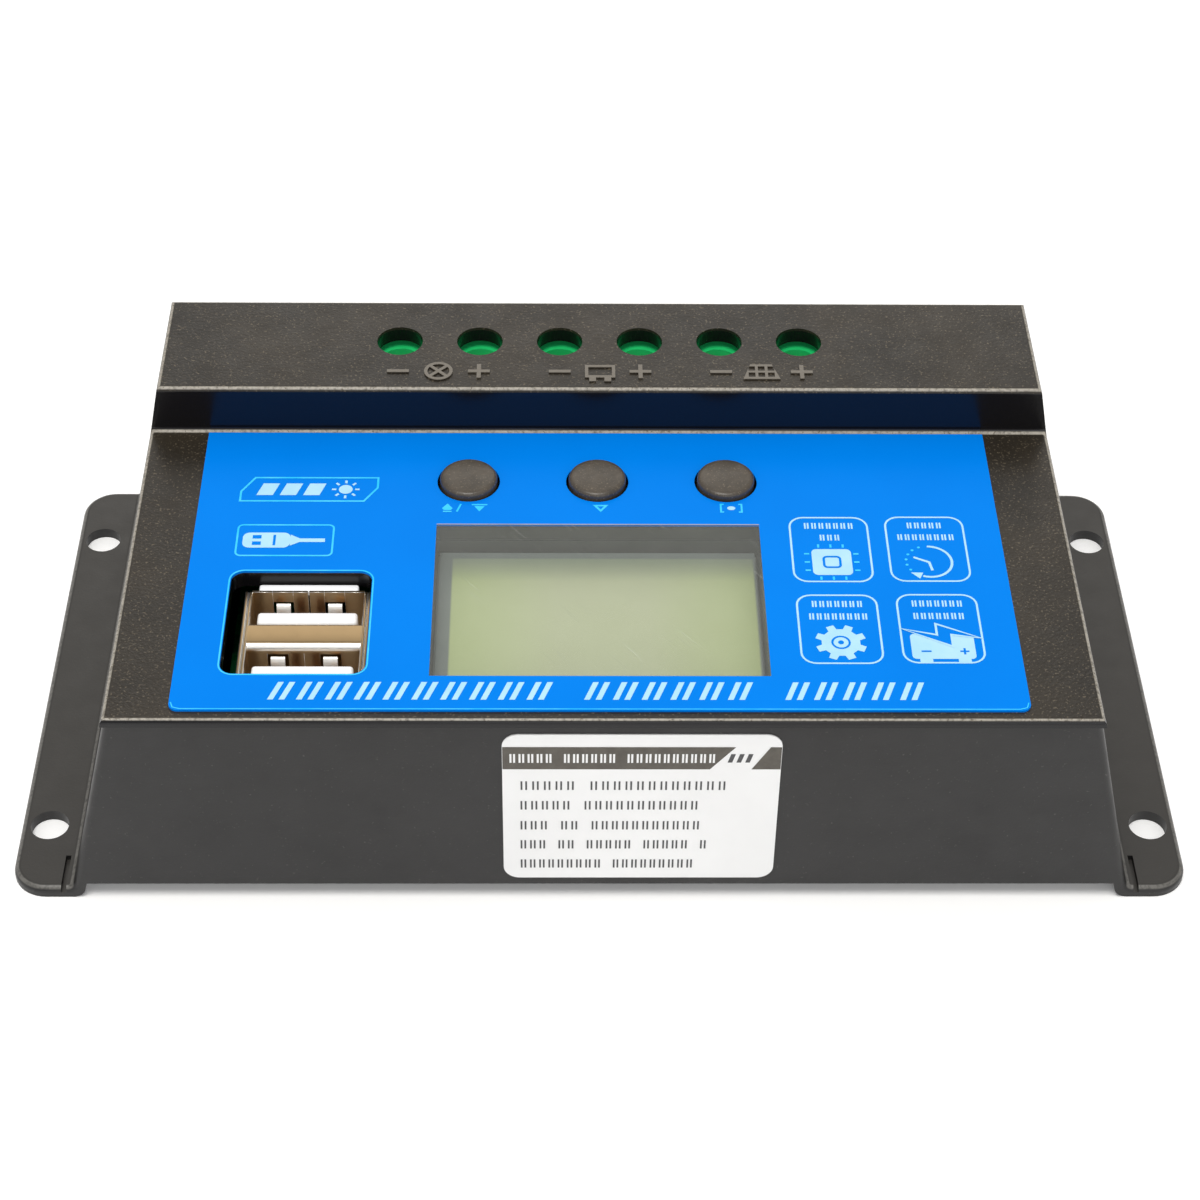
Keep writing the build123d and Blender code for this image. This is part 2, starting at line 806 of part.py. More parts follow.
with BuildPart() as terminal_block:
    with BuildSketch(level(board_top)):
        with Locations((0, terminal_y)):
            Rectangle(2 * block_half, block_depth)
    extrude(amount=block_top - board_top)
    # Cage chambers
    with BuildSketch(level(chamber_floor)):
        with Locations([(x, (chamber_front + chamber_rear) / 2) for x in pole_xs]):
            Rectangle(2 * chamber_half, chamber_rear - chamber_front)
    extrude(amount=chamber_top - chamber_floor, mode=Mode.SUBTRACT)
    # Screw passages with the pockets that hold the heads
    with BuildSketch(level(chamber_top)):
        with Locations([(x, terminal_y) for x in pole_xs]):
            Circle(screw_radius + thread_gap)
    extrude(amount=screw_seat, mode=Mode.SUBTRACT)
    with BuildSketch(level(screw_seat_top)):
        with Locations([(x, terminal_y) for x in pole_xs]):
            Circle(screw_head_radius + screw_head_gap)
    extrude(amount=block_top - screw_seat_top, mode=Mode.SUBTRACT)
    # Wire entries at the rear
    with BuildSketch(across(block_rear)):
        with Locations([(x, (wire_floor + bar_bottom) / 2) for x in pole_xs]):
            Rectangle(entry_width, entry_height)
    extrude(amount=block_wall, mode=Mode.SUBTRACT)
    # Slots for the contact legs
    with BuildSketch(level(board_top)):
        with Locations([(x, leg_y) for x in pole_xs]):
            Rectangle(contact_leg_width, contact_bar)
    extrude(amount=block_floor, mode=Mode.SUBTRACT)
finish_piece(terminal_block, "terminal_block")

with BuildPart() as terminal_contacts:
    # Contact bar under each screw, with its leg through the board
    with BuildSketch(level(bar_bottom)):
        with Locations([(x, (chamber_front + chamber_rear) / 2) for x in pole_xs]):
            Rectangle(contact_width, chamber_rear - chamber_front)
    extrude(amount=contact_bar)
    with BuildSketch(level(board_bottom - board_pin_length)):
        with Locations([(x, leg_y) for x in pole_xs]):
            Rectangle(contact_leg_width, contact_bar)
    extrude(amount=bar_bottom - board_bottom + board_pin_length)
finish_piece(terminal_contacts, "terminal_contacts")

for number, x in enumerate(pole_xs, start=1):
    with BuildPart() as clamp_cage:
        # Square ring open along the wire, with a threaded top
        with BuildSketch(across(terminal_y + cage_depth / 2)):
            with Locations((x, cage_floor + cage_height / 2)):
                Rectangle(cage_width, cage_height)
            with Locations((x, (wire_floor + cage_window_top) / 2)):
                Rectangle(cage_width - 2 * cage_side, cage_window_top - wire_floor, mode=Mode.SUBTRACT)
        extrude(amount=cage_depth)
        with Locations(level(cage_floor + cage_height)):
            with Locations((x, terminal_y)):
                Hole(screw_radius + thread_gap, depth=cage_top)
    finish_piece(clamp_cage, "clamp_cage_" + str(number))

    with BuildPart() as terminal_screw:
        with BuildSketch(level(screw_tip)):
            with Locations((x, terminal_y)):
                Circle(screw_radius)
        extrude(amount=screw_seat_top - screw_tip)
        with BuildSketch(level(screw_seat_top)):
            with Locations((x, terminal_y)):
                Circle(screw_head_radius)
        extrude(amount=screw_head_height)
        # Cross recess
        with BuildSketch(level(screw_seat_top + screw_head_height)):
            with Locations((x, terminal_y)):
                Rectangle(2 * screw_radius, screw_cross_width)
                Rectangle(screw_cross_width, 2 * screw_radius)
        extrude(amount=-screw_cross_depth, mode=Mode.SUBTRACT)
    finish_piece(terminal_screw, "terminal_screw_" + str(number))

# ---------------------------------------------------------------- circuit board and its supports

with BuildPart() as circuit_board:
    with BuildSketch(level(board_bottom)):
        with Locations((0, (board_front + board_rear) / 2)):
            Rectangle(2 * board_half_width, board_rear - board_front)
        with Locations(board_screw_points):
            Circle(machine_hole_radius, mode=Mode.SUBTRACT)
        with Locations([(x, leg_y) for x in pole_xs]):
            Rectangle(contact_leg_width, contact_bar, mode=Mode.SUBTRACT)
        with Locations((face_shift, pin_row_y)):
            with GridLocations(display_pin_pitch, 1, display_pin_count, 1):
                Circle(display_pin_radius, mode=Mode.SUBTRACT)
    extrude(amount=board)
finish_piece(circuit_board, "circuit_board")

with BuildPart() as board_standoffs:
    with BuildSketch(level(base_top)):
        with Locations(board_screw_points):
            Circle(standoff_radius)
            Circle(machine_hole_radius, mode=Mode.SUBTRACT)
    extrude(amount=board_bottom - base_top)
finish_piece(board_standoffs, "board_standoffs")


def pan_head_screws(name, points, shank_radius, bearing_z, tip_z):
    """Make one group of pan head screws, from the head's bearing face to the tip of the shank."""
    into_work = 1 if tip_z > bearing_z else -1
    head_z = bearing_z - into_work * machine_head_height
    with BuildPart() as screws:
        with BuildSketch(level(head_z)):
            with Locations(points):
                Circle(machine_head_radius)
        extrude(amount=into_work * machine_head_height)
        crown_edges = screws.edges().filter_by(lambda edge: abs(edge.center().Z - head_z) < pick)
        fillet(crown_edges.filter_by(GeomType.CIRCLE), machine_head_round)
        with BuildSketch(level(bearing_z)):
            with Locations(points):
                Circle(shank_radius)
        extrude(amount=tip_z - bearing_z)
        # Cross recess
        with BuildSketch(level(head_z)):
            with Locations(points):
                Rectangle(machine_head_radius, machine_cross_width)
                Rectangle(machine_cross_width, machine_head_radius)
        extrude(amount=into_work * machine_cross_depth, mode=Mode.SUBTRACT)
    finish_piece(screws, name)


thread_tip = base_top + pilot_depth - fit_gap
pan_head_screws("board_screws", board_screw_points, machine_screw_radius, board_top, base_top + fit_gap)
pan_head_screws("housing_screws", boss_points, pilot_radius - thread_gap, base_raise, thread_tip)

# ---------------------------------------------------------------- power transistors

mosfet_xs = [(index - (mosfet_count - 1) / 2) * mosfet_pitch for index in range(mosfet_count)]
mosfet_floor = base_top + pad
mosfet_body_front = mosfet_front + mosfet_tab_length
mosfet_body_rear = mosfet_body_front + mosfet_body_length
mosfet_hole_y = mosfet_front + mosfet_tab_length / 2
mosfet_holes = [(x, mosfet_hole_y) for x in mosfet_xs]
lead_base = mosfet_floor + mosfet_tab
leads = [(x + step * lead_pitch) for x in mosfet_xs for step in (-1, 0, 1)]
lead_end = mosfet_body_rear + lead_run

with BuildPart() as thermal_pad:
    with BuildSketch(level(base_top)):
        with Locations((0, (mosfet_front + mosfet_body_rear) / 2)):
            Rectangle(
                mosfet_xs[-1] - mosfet_xs[0] + mosfet_width + 2 * pad_margin,
                mosfet_body_rear - mosfet_front + 2 * pad_margin,
            )
        with Locations(mosfet_holes):
            Circle(machine_hole_radius, mode=Mode.SUBTRACT)
    extrude(amount=pad)
finish_piece(thermal_pad, "thermal_pad")

with BuildPart() as mosfet_tabs:
    # Metal backs that reach under the bodies, and the leads bent up into the board
    with BuildSketch(level(mosfet_floor)):
        with Locations([(x, (mosfet_front + mosfet_body_rear) / 2) for x in mosfet_xs]):
            Rectangle(mosfet_width, mosfet_body_rear - mosfet_front)
        with Locations(mosfet_holes):
            Circle(machine_hole_radius, mode=Mode.SUBTRACT)
    extrude(amount=mosfet_tab)
    with BuildSketch(level(lead_base)):
        with Locations([(x, (mosfet_body_rear + lead_end) / 2) for x in leads]):
            Rectangle(lead_width, lead_end - mosfet_body_rear)
    extrude(amount=lead_thickness)
    with BuildSketch(level(lead_base)):
        with Locations([(x, lead_end - lead_thickness / 2) for x in leads]):
            Rectangle(lead_width, lead_thickness)
    extrude(amount=board_bottom - lead_base)
finish_piece(mosfet_tabs, "mosfet_tabs")

with BuildPart() as power_mosfets:
    with BuildSketch(level(lead_base)):
        with Locations([(x, (mosfet_body_front + mosfet_body_rear) / 2) for x in mosfet_xs]):
            Rectangle(mosfet_width, mosfet_body_length)
    extrude(amount=mosfet_body_height - mosfet_tab)
    chamfer(power_mosfets.faces().filter_by(Axis.Z).group_by(Axis.Z)[-1].edges(), mosfet_bevel)
finish_piece(power_mosfets, "power_mosfets")

pan_head_screws("mosfet_screws", mosfet_holes, machine_screw_radius, lead_base, base_raise + fit_gap)

# ---------------------------------------------------------------- components on the board


def standing_can(name, place, radius, height):
    """Make one upright electrolytic capacitor with a rolled groove near its foot."""
    with BuildPart() as can:
        with BuildSketch(level(board_top)):
            with Locations(place):
                Circle(radius)
        extrude(amount=height)
        fillet(can.edges().filter_by(GeomType.CIRCLE), radius * can_edge)
        with BuildSketch(level(board_top + height * can_groove_place)):
            with Locations(place):
                Circle(radius)
                Circle(radius * can_neck, mode=Mode.SUBTRACT)
        extrude(amount=height * can_groove_height, mode=Mode.SUBTRACT)
    finish_piece(can, name)


standing_can("reservoir_capacitor", big_can_place, big_can_radius, big_can_height)
standing_can("small_capacitor", small_can_place, small_can_radius, small_can_height)


def flat_package(name, place, width, depth, height):
    """Make one plain moulded package lying on the board."""
    with BuildPart() as package:
        with BuildSketch(level(board_top)):
            with Locations(place):
                Rectangle(width, depth)
        extrude(amount=height)
        chamfer(package.faces().sort_by(Axis.Z)[-1].edges(), chip_bevel)
    finish_piece(package, name)


flat_package("controller_chip", chip_place, chip_side, chip_side, chip_height)
flat_package("regulator_chip", regulator_place, regulator_width, regulator_depth, chip_height)
flat_package("catch_diode", diode_place, diode_width, diode_depth, chip_height)

with BuildPart() as inductor_core:
    # Ferrite bobbin
    with Locations(level(board_top)):
        with Locations(core_place):
            Cylinder(core_radius, core_flange, align=(Align.CENTER, Align.CENTER, Align.MIN))
            Cylinder(core_waist, core_height, align=(Align.CENTER, Align.CENTER, Align.MIN))
    with Locations(level(board_top + core_height - core_flange)):
        with Locations(core_place):
            Cylinder(core_radius, core_flange, align=(Align.CENTER, Align.CENTER, Align.MIN))
finish_piece(inductor_core, "inductor_core")

with BuildPart() as power_inductor:
    # Copper winding between the flanges
    with BuildSketch(level(board_top + core_flange)):
        with Locations(core_place):
            Circle(coil_radius)
            Circle(core_waist, mode=Mode.SUBTRACT)
    extrude(amount=core_height - 2 * core_flange)
finish_piece(power_inductor, "power_inductor")

with BuildPart() as current_shunt:
    # Bent metal strip bridging two pads
    with BuildSketch(across(shunt_y + shunt_depth / 2)):
        with Locations((0, board_top + shunt_height / 2)):
            Rectangle(shunt_width, shunt_height)
        with Locations((0, board_top + (shunt_height - shunt_strip) / 2)):
            Rectangle(shunt_width - 2 * shunt_strip, shunt_height - shunt_strip, mode=Mode.SUBTRACT)
    extrude(amount=shunt_depth)
    fillet(current_shunt.edges().filter_by(Axis.Y).group_by(Axis.Z)[-1], shunt_strip / 2)
finish_piece(current_shunt, "current_shunt")
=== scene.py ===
"""Looks of a small solar charge controller, built around its CAD frame.

Sizes in the classes are millimetres in the frame of the CAD model: X runs along the
terminals, Y points to the wire side and Z is up. Meshes are made in metres.
"""

import json
import logging
import math
from dataclasses import dataclass, field
from enum import Enum
from typing import Any, Callable, Iterable, Iterator, Mapping, Sequence

import bmesh
import bpy
from mathutils import Matrix, Vector
from mathutils.geometry import tessellate_polygon

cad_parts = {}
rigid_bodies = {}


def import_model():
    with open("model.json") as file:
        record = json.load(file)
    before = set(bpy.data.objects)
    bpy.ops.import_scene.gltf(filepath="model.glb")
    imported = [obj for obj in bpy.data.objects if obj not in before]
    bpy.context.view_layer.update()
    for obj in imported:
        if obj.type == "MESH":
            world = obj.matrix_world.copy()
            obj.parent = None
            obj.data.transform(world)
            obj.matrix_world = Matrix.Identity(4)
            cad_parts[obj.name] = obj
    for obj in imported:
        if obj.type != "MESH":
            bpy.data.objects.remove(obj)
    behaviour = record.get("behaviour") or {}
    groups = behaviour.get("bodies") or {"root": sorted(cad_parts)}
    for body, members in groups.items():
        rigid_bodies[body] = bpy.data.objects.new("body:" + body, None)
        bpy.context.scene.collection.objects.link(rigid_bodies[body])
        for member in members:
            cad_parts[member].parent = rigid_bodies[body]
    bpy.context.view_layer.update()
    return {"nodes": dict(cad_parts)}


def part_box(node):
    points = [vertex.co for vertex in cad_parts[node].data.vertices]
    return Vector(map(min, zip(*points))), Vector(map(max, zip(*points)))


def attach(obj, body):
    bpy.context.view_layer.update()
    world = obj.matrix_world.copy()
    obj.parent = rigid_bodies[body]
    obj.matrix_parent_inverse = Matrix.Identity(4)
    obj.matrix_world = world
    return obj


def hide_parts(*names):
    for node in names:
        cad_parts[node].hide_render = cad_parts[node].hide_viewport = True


for leftover in list(bpy.data.objects):
    bpy.data.objects.remove(leftover)
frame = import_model()

MM = 0.001
LOG = logging.getLogger("charge_controller")

Point = tuple[float, float]
Socket = bpy.types.NodeSocket


def linear(hex_colour: str) -> tuple[float, float, float, float]:
    """Turn an sRGB hex colour into a linear colour.

    Args:
        hex_colour: Six hex digits with a leading hash.

    Returns:
        Linear red, green, blue and an alpha of 1.
    """
    parts = [int(hex_colour[i:i + 2], 16) / 255 for i in (1, 3, 5)]
    bent = [p / 12.92 if p <= 0.04045 else ((p + 0.055) / 1.055) ** 2.4 for p in parts]
    return (bent[0], bent[1], bent[2], 1.0)


def add_node(tree: bpy.types.NodeTree, kind: str, settings: Mapping[Any, Any]) -> bpy.types.Node:
    """Add one shader node with its settings and links.

    Args:
        tree: The node tree that gets the node.
        kind: Blender's name for the kind of node, after "ShaderNode".
        settings: Values by attribute name, or by an input's name or number. A hex colour is
            turned to linear, and another node's output is linked.

    Returns:
        The new node.
    """
    node = tree.nodes.new("ShaderNode" + kind)
    for key, value in settings.items():
        if isinstance(key, str) and key not in node.inputs:
            setattr(node, key, value)
        elif isinstance(value, bpy.types.NodeSocket):
            tree.links.new(value, node.inputs[key])
        else:
            node.inputs[key].default_value = linear(value) if isinstance(value, str) else value
    return node


def facing_up(tree: bpy.types.NodeTree) -> Socket:
    """Return how far a face looks up: 1 when it is level and 0 when it is upright."""
    normal = add_node(tree, "NewGeometry", {}).outputs["Normal"]
    return add_node(tree, "SeparateXYZ", {0: normal}).outputs[2]


def overlap(tree: bpy.types.NodeTree, *spans: tuple[Socket, float, float]) -> Socket:
    """Multiply the shares of one or more values, each rising over its own span.

    Args:
        tree: The node tree.
        spans: A value, where its share is 0 and where its share is 1, in either order.

    Returns:
        The socket that is 1 where every value is past its span and 0 where any is before it.
    """
    share: Any = 1.0
    for value, start, end in spans:
        part = add_node(tree, "MapRange", {"Value": value, "From Min": start, "From Max": end}).outputs[0]
        share = add_node(tree, "Math", {"operation": "MULTIPLY", 0: share, 1: part}).outputs[0]
    return share


def within(tree: bpy.types.NodeTree, place: Socket, low: Sequence[float], high: Sequence[float],
           blur: float = 0.1) -> Socket:
    """Mark the inside of an upright box, with sides that fade over a short way.

    Args:
        tree: The node tree.
        place: The place that is tested.
        low: Lowest corner in millimetres.
        high: Highest corner in millimetres.
        blur: Width of the fade in millimetres.

    Returns:
        The socket that is 1 inside the box and 0 outside.
    """
    axes = add_node(tree, "SeparateXYZ", {0: place}).outputs
    sides = [(axes[i], edge * MM, (edge + inward) * MM)
             for i in range(3) for edge, inward in ((low[i], blur), (high[i], -blur))]
    return overlap(tree, *sides)


@dataclass(frozen=True)
class Grain:
    """One layer of surface relief, with its wavelength and depth in millimetres."""

    size: float
    depth: float = 0.0
    detail: float = 2.0
    stretch: tuple[float, float, float] = (1.0, 1.0, 1.0)

    def height(self, tree: bpy.types.NodeTree, place: Socket) -> Socket:
        """Return the layer's height pattern, from 0 to 1, at the given place."""
        scale = tuple(1 / (s * self.size * MM) for s in self.stretch)
        squeezed = add_node(tree, "VectorMath", {"operation": "MULTIPLY", 0: place, 1: scale})
        settings = {"Vector": squeezed.outputs[0], "Scale": 1.0, "Detail": self.detail, "Roughness": 0.55}
        return add_node(tree, "TexNoise", settings).outputs[0]


@dataclass(frozen=True)
class Finish:
    """One real surface: its colours, its gloss and its fine relief.

    The second colour shows in soft patches, and flecks are small spots of a third
    colour. Spread is how far roughness wanders from its middle value, and glow is light
    that the surface gives off: on the nylon parts it is painted light that brightens them,
    and on the floor it keeps the backdrop evenly white. The edge highlight is a painted
    highlight on bends and rounded edges that look up, and the upward face colour is a
    lighter colour that faces looking straight up take on.
    """

    name: str
    colour: str
    second: str
    roughness: float
    patch: float = 6.0
    spread: float = 0.06
    metallic: float = 0.0
    ior: float = 1.5
    coat: float = 0.0
    specular: float = 0.5
    glow: float = 0.0
    fleck: str = ""
    fleck_size: float = 0.4
    fleck_edge: float = 0.62
    worn: str = ""
    rubbed_size: float = 0.45
    dust: str = ""
    grains: tuple[Grain, ...] = ()

    def rubbed(self, tree: bpy.types.NodeTree, place: Socket) -> Socket:
        """Return 1 on bends and edges that look up, where the painted highlight goes, and 0 on flats and
        walls.
        """
        level = facing_up(tree)
        uneven = Grain(self.rubbed_size).height(tree, place)
        return overlap(tree, (level, 0.985, 0.93), (level, 0.5, 0.7), (uneven, 0.1, 0.55))

    def layers(self, tree: bpy.types.NodeTree, place: Socket) -> Iterator[tuple[Socket, str]]:
        """Give the colours that lie over the first one, from the lowest up.

        Args:
            tree: The node tree.
            place: The place that is coloured.

        Returns:
            Pairs of the share that a colour covers and the colour.
        """
        patches = Grain(self.patch, detail=3.0).height(tree, place)
        yield overlap(tree, (patches, 0.35, 0.65)), self.second
        # Painted highlight on bends and rounded edges that look up.
        if self.worn:
            yield self.rubbed(tree, place), self.worn
        # Faces that look straight up take a lighter colour.
        if self.dust:
            yield overlap(tree, (facing_up(tree), 0.93, 0.99)), self.dust
        if self.fleck:
            spots = Grain(self.fleck_size, detail=1.0).height(tree, place)
            yield overlap(tree, (spots, self.fleck_edge, self.fleck_edge + 0.12)), self.fleck

    def base_colour(self, tree: bpy.types.NodeTree, place: Socket) -> Socket:
        """Return the socket of the surface's colour, layer over layer."""
        colour: Any = self.colour
        for share, cover in self.layers(tree, place):
            settings = {"data_type": "RGBA", 0: share, 6: colour, 7: cover}
            colour = add_node(tree, "Mix", settings).outputs[2]
        return colour

    def rough(self, tree: bpy.types.NodeTree, place: Socket) -> Socket:
        """Return the socket of the surface's roughness at a place."""
        wander = Grain(self.patch / 3, detail=4.0).height(tree, place)
        return add_node(tree, "MapRange", {
            "Value": wander, "From Min": 0.3, "From Max": 0.7,
            "To Min": self.roughness - self.spread, "To Max": self.roughness + self.spread,
        }).outputs[0]

    def relief_strength(self, tree: bpy.types.NodeTree, place: Socket) -> Any:
        """Return how much of the relief shows: all of it on an even surface."""
        return 1.0

    def relief(self, tree: bpy.types.NodeTree, place: Socket) -> Socket | None:
        """Return the normal after every layer of relief, or None for a smooth surface."""
        normal = None
        strength = self.relief_strength(tree, place)
        for grain in self.grains:
            height = grain.height(tree, place)
            settings = {"Height": height, "Strength": strength, "Distance": grain.depth * MM}
            if normal is not None:
                settings["Normal"] = normal
            normal = add_node(tree, "Bump", settings).outputs[0]
        return normal

    def shader(self, tree: bpy.types.NodeTree, place: Socket) -> Socket:
        """Return the socket of the finished shader."""
        # Glow is emitted light: painted light on the nylon parts, an even white on the floor.
        settings = {
            "Base Color": self.base_colour(tree, place), "Roughness": self.rough(tree, place),
            "Metallic": self.metallic, "Coat Weight": self.coat, "Coat Roughness": 0.08,
            "Specular IOR Level": self.specular, "Emission Strength": self.glow,
            "Emission Color": self.colour,
        }
        normal = self.relief(tree, place)
        if normal is not None:
            settings["Normal"] = normal
        if not self.metallic:
            settings["IOR"] = self.ior
        return add_node(tree, "BsdfPrincipled", settings).outputs[0]

    def material(self) -> bpy.types.Material:
        """Return the finish's material, made on first use."""
        found = bpy.data.materials.get("finish_" + self.name)
        if found is not None:
            return found
        made = bpy.data.materials.new("finish_" + self.name)
        made.use_nodes = True
        tree = made.node_tree
        tree.nodes.clear()
        place = add_node(tree, "TexCoord", {}).outputs["Object"]
        add_node(tree, "OutputMaterial", {"Surface": self.shader(tree, place)})
        return made


@dataclass(frozen=True)
class MouldedCover(Finish):
    """Spark-eroded ABS that is smooth and satin on the hood's step and in the openings.

    Each polished zone is a box given by its lowest and highest corner, where the cover is
    smooth and near-black. The step and the walls of the openings are truly polished; in the
    terminal holes and on the lip's front face the near-black is painted shade, which also
    trims the painted highlight on the lip.
    """

    polished: tuple[tuple[tuple[float, float, float], tuple[float, float, float]], ...] = (
        # The step, then the walls of the openings: smooth satin.
        ((-60.0, 13.9, 28.7), (60.0, 14.25, 34.4)),
        ((-45.0, -32.5, 20.0), (45.0, 13.0, 28.46)),
        # Painted shade: the walls of the terminal holes, then the lip's front face below its painted
        # highlight.
        ((-28.0, 20.0, 30.0), (28.0, 27.0, 34.5)),
        ((-62.0, -35.2, 26.2), (62.0, -34.5, 28.42)),
    )
    polished_colour: str = "#111012"
    polished_roughness: float = 0.2
    sign_low: float = 34.88
    sign_high: float = 34.94
    sign_colour: str = "#6E685F"

    def smooth_share(self, tree: bpy.types.NodeTree, place: Socket) -> Socket:
        """Return 1 in the polished zones and 0 elsewhere."""
        share: Any = 0.0
        for low, high in self.polished:
            settings = {"operation": "MAXIMUM", 0: share, 1: within(tree, place, low, high)}
            share = add_node(tree, "Math", settings).outputs[0]
        return share

    def layers(self, tree: bpy.types.NodeTree, place: Socket) -> Iterator[tuple[Socket, str]]:
        """Give the grained colours, the lighter sign tops, then the near-black zones, partly painted shade.
        """
        yield from super().layers(tree, place)
        height = add_node(tree, "SeparateXYZ", {0: place}).outputs[2]
        # The tops of the raised signs are painted a lighter colour.
        yield overlap(tree, (height, self.sign_low * MM, self.sign_high * MM)), self.sign_colour
        # Near-black in the zones: real on the step and openings, painted shade in the terminal holes and on
        # the lip's face.
        yield self.smooth_share(tree, place), self.polished_colour

    def rough(self, tree: bpy.types.NodeTree, place: Socket) -> Socket:
        """Return the roughness, low where the cover is polished."""
        settings = {"Value": self.smooth_share(tree, place), "To Min": super().rough(tree, place),
                    "To Max": self.polished_roughness}
        return add_node(tree, "MapRange", settings).outputs[0]

    def relief_strength(self, tree: bpy.types.NodeTree, place: Socket) -> Any:
        """Return 0 where the cover is polished and 1 where it is grained."""
        settings = {"operation": "SUBTRACT", 0: 1.0, 1: self.smooth_share(tree, place)}
        return add_node(tree, "Math", settings).outputs[0]


@dataclass(frozen=True)
class DisplayCell(Finish):
    """Reflective display: a yellow-green field framed by the bare edge of the glass."""

    half_width: float = 17.4
    middle_x: float = 0.2
    far_edge: float = -4.85
    edge_blur: float = 0.25
    side_start: float = 5.0
    shade_start: float = 4.0
    shade_end: float = 0.6
    frame_colour: str = "#787D82"
    side_tint: str = "#C0C996"
    far_shade: str = "#959D8C"

    def layers(self, tree: bpy.types.NodeTree, place: Socket) -> Iterator[tuple[Socket, str]]:
        """Give the field's colours, its greener sides, its shaded far end and the bare border."""
        yield from super().layers(tree, place)
        across, along, _ = add_node(tree, "SeparateXYZ", {0: place}).outputs
        edge, far, blur = self.half_width * MM, self.far_edge * MM, self.edge_blur * MM
        settings = {"operation": "SUBTRACT", 0: across, 1: self.middle_x * MM}
        shifted = add_node(tree, "Math", settings).outputs[0]
        off_middle = add_node(tree, "Math", {"operation": "ABSOLUTE", 0: shifted}).outputs[0]
        yield overlap(tree, (off_middle, self.side_start * MM, edge)), self.side_tint
        yield overlap(tree, (along, far - self.shade_start * MM, far - self.shade_end * MM)), self.far_shade
        inside = overlap(tree, (off_middle, edge, edge - blur), (along, far, far - blur))
        border = add_node(tree, "Math", {"operation": "SUBTRACT", 0: 1.0, 1: inside}).outputs[0]
        yield border, self.frame_colour


@dataclass(frozen=True)
class ClearPane(Finish):
    """Clear hard-coated film with fine handling scratches, seen only by what it mirrors."""

    scratch: Grain = Grain(0.22, detail=1.0, stretch=(40.0, 1.0, 1.0))
    scratch_turn: float = 0.9
    mirror_share: float = 0.6
    least_share: float = 0.04
    scratch_share: float = 0.12

    def scratched(self, tree: bpy.types.NodeTree, place: Socket) -> Socket:
        """Return 1 on the scratches, which keep to patches that hands have scuffed."""
        settings = {"rotation_type": "Z_AXIS", "Vector": place, "Angle": self.scratch_turn}
        lines = self.scratch.height(tree, add_node(tree, "VectorRotate", settings).outputs[0])
        return overlap(tree, (lines, 0.66, 0.74), (Grain(5.0).height(tree, place), 0.5, 0.65))

    def shader(self, tree: bpy.types.NodeTree, place: Socket) -> Socket:
        """Return a clear sheet that mirrors more at a grazing view and along its scratches."""
        clear = add_node(tree, "BsdfTransparent", {"Color": self.colour}).outputs[0]
        facing = add_node(tree, "LayerWeight", {"Blend": 0.5}).outputs[1]
        mirror = add_node(tree, "Math", {"operation": "POWER", 0: facing, 1: 3.0}).outputs[0]
        share: Any = self.least_share
        parts = ((mirror, self.mirror_share), (self.scratched(tree, place), self.scratch_share))
        for part, weight in parts:
            settings = {"operation": "MULTIPLY_ADD", 0: part, 1: weight, 2: share}
            share = add_node(tree, "Math", settings).outputs[0]
        return add_node(tree, "MixShader", {0: share, 1: clear, 2: super().shader(tree, place)}).outputs[0]


@dataclass(frozen=True)
class PaintedSheenPlate(Finish):
    """Plated sheet with a painted highlight on its folded edges and bends and a painted dull warm reflection
    on its level flats.
    """

    edge_colour: str = "#FBF8F2"
    flat_colour: str = "#9A8361"

    def layers(self, tree: bpy.types.NodeTree, place: Socket) -> Iterator[tuple[Socket, str]]:
        """Give the walls' colours, then the painted highlight on the edges and the painted dull reflection on
        the level flats.
        """
        yield from super().layers(tree, place)
        level = facing_up(tree)
        # Painted highlight on folded edges and bends.
        yield overlap(tree, (level, 0.1, 0.25)), self.edge_colour
        # Painted dull warm reflection on level flats.
        yield overlap(tree, (level, 0.8, 0.97)), self.flat_colour


@dataclass(frozen=True)
class Winding(Finish):
    """Enamelled copper wire wound in even turns, a rib for each turn."""

    wire: float = 0.5

    def relief(self, tree: bpy.types.NodeTree, place: Socket) -> Socket | None:
        """Return the rounded ribs of the turns."""
        turns = add_node(tree, "TexWave", {
            "wave_type": "BANDS", "bands_direction": "Z", "Vector": place,
            "Scale": 0.314 / (self.wire * MM), "Distortion": 0.3,
        }).outputs[1]
        settings = {"Height": turns, "Strength": 1.0, "Distance": self.wire * 0.3 * MM}
        return add_node(tree, "Bump", settings).outputs[0]


@dataclass(frozen=True)
class SolderMask(Finish):
    """Green solder mask over etched tracks, which show as paler, slightly raised runs."""

    track: float = 1.1
    over_copper: str = "#1E7A45"

    def layers(self, tree: bpy.types.NodeTree, place: Socket) -> Iterator[tuple[Socket, str]]:
        """Give the mask's colours, then the paler one above the copper tracks."""
        yield from super().layers(tree, place)
        cells = add_node(tree, "TexVoronoi", {
            "distance": "CHEBYCHEV", "feature": "F1", "Vector": place, "Scale": 1 / (4 * self.track * MM),
        }).outputs[0]
        yield overlap(tree, (cells, 0.32, 0.36)), self.over_copper


# Polyester powder coat on steel: a fine orange peel that breaks the light softly.
# Its bends and edges that look up carry a painted highlight, and faces that look straight up are a lighter
# colour.
POWDER_COAT = Finish(
    "polyester_powder_coat_black", "#201F1F", "#1B1A1A", 0.42, patch=9.0, specular=0.42,
    fleck="#3F3D3A", fleck_size=0.35, fleck_edge=0.71, worn="#64625E", dust="#33312E",
    grains=(Grain(1.1, 0.012, 2.0), Grain(0.3, 0.008, 1.0)),
)
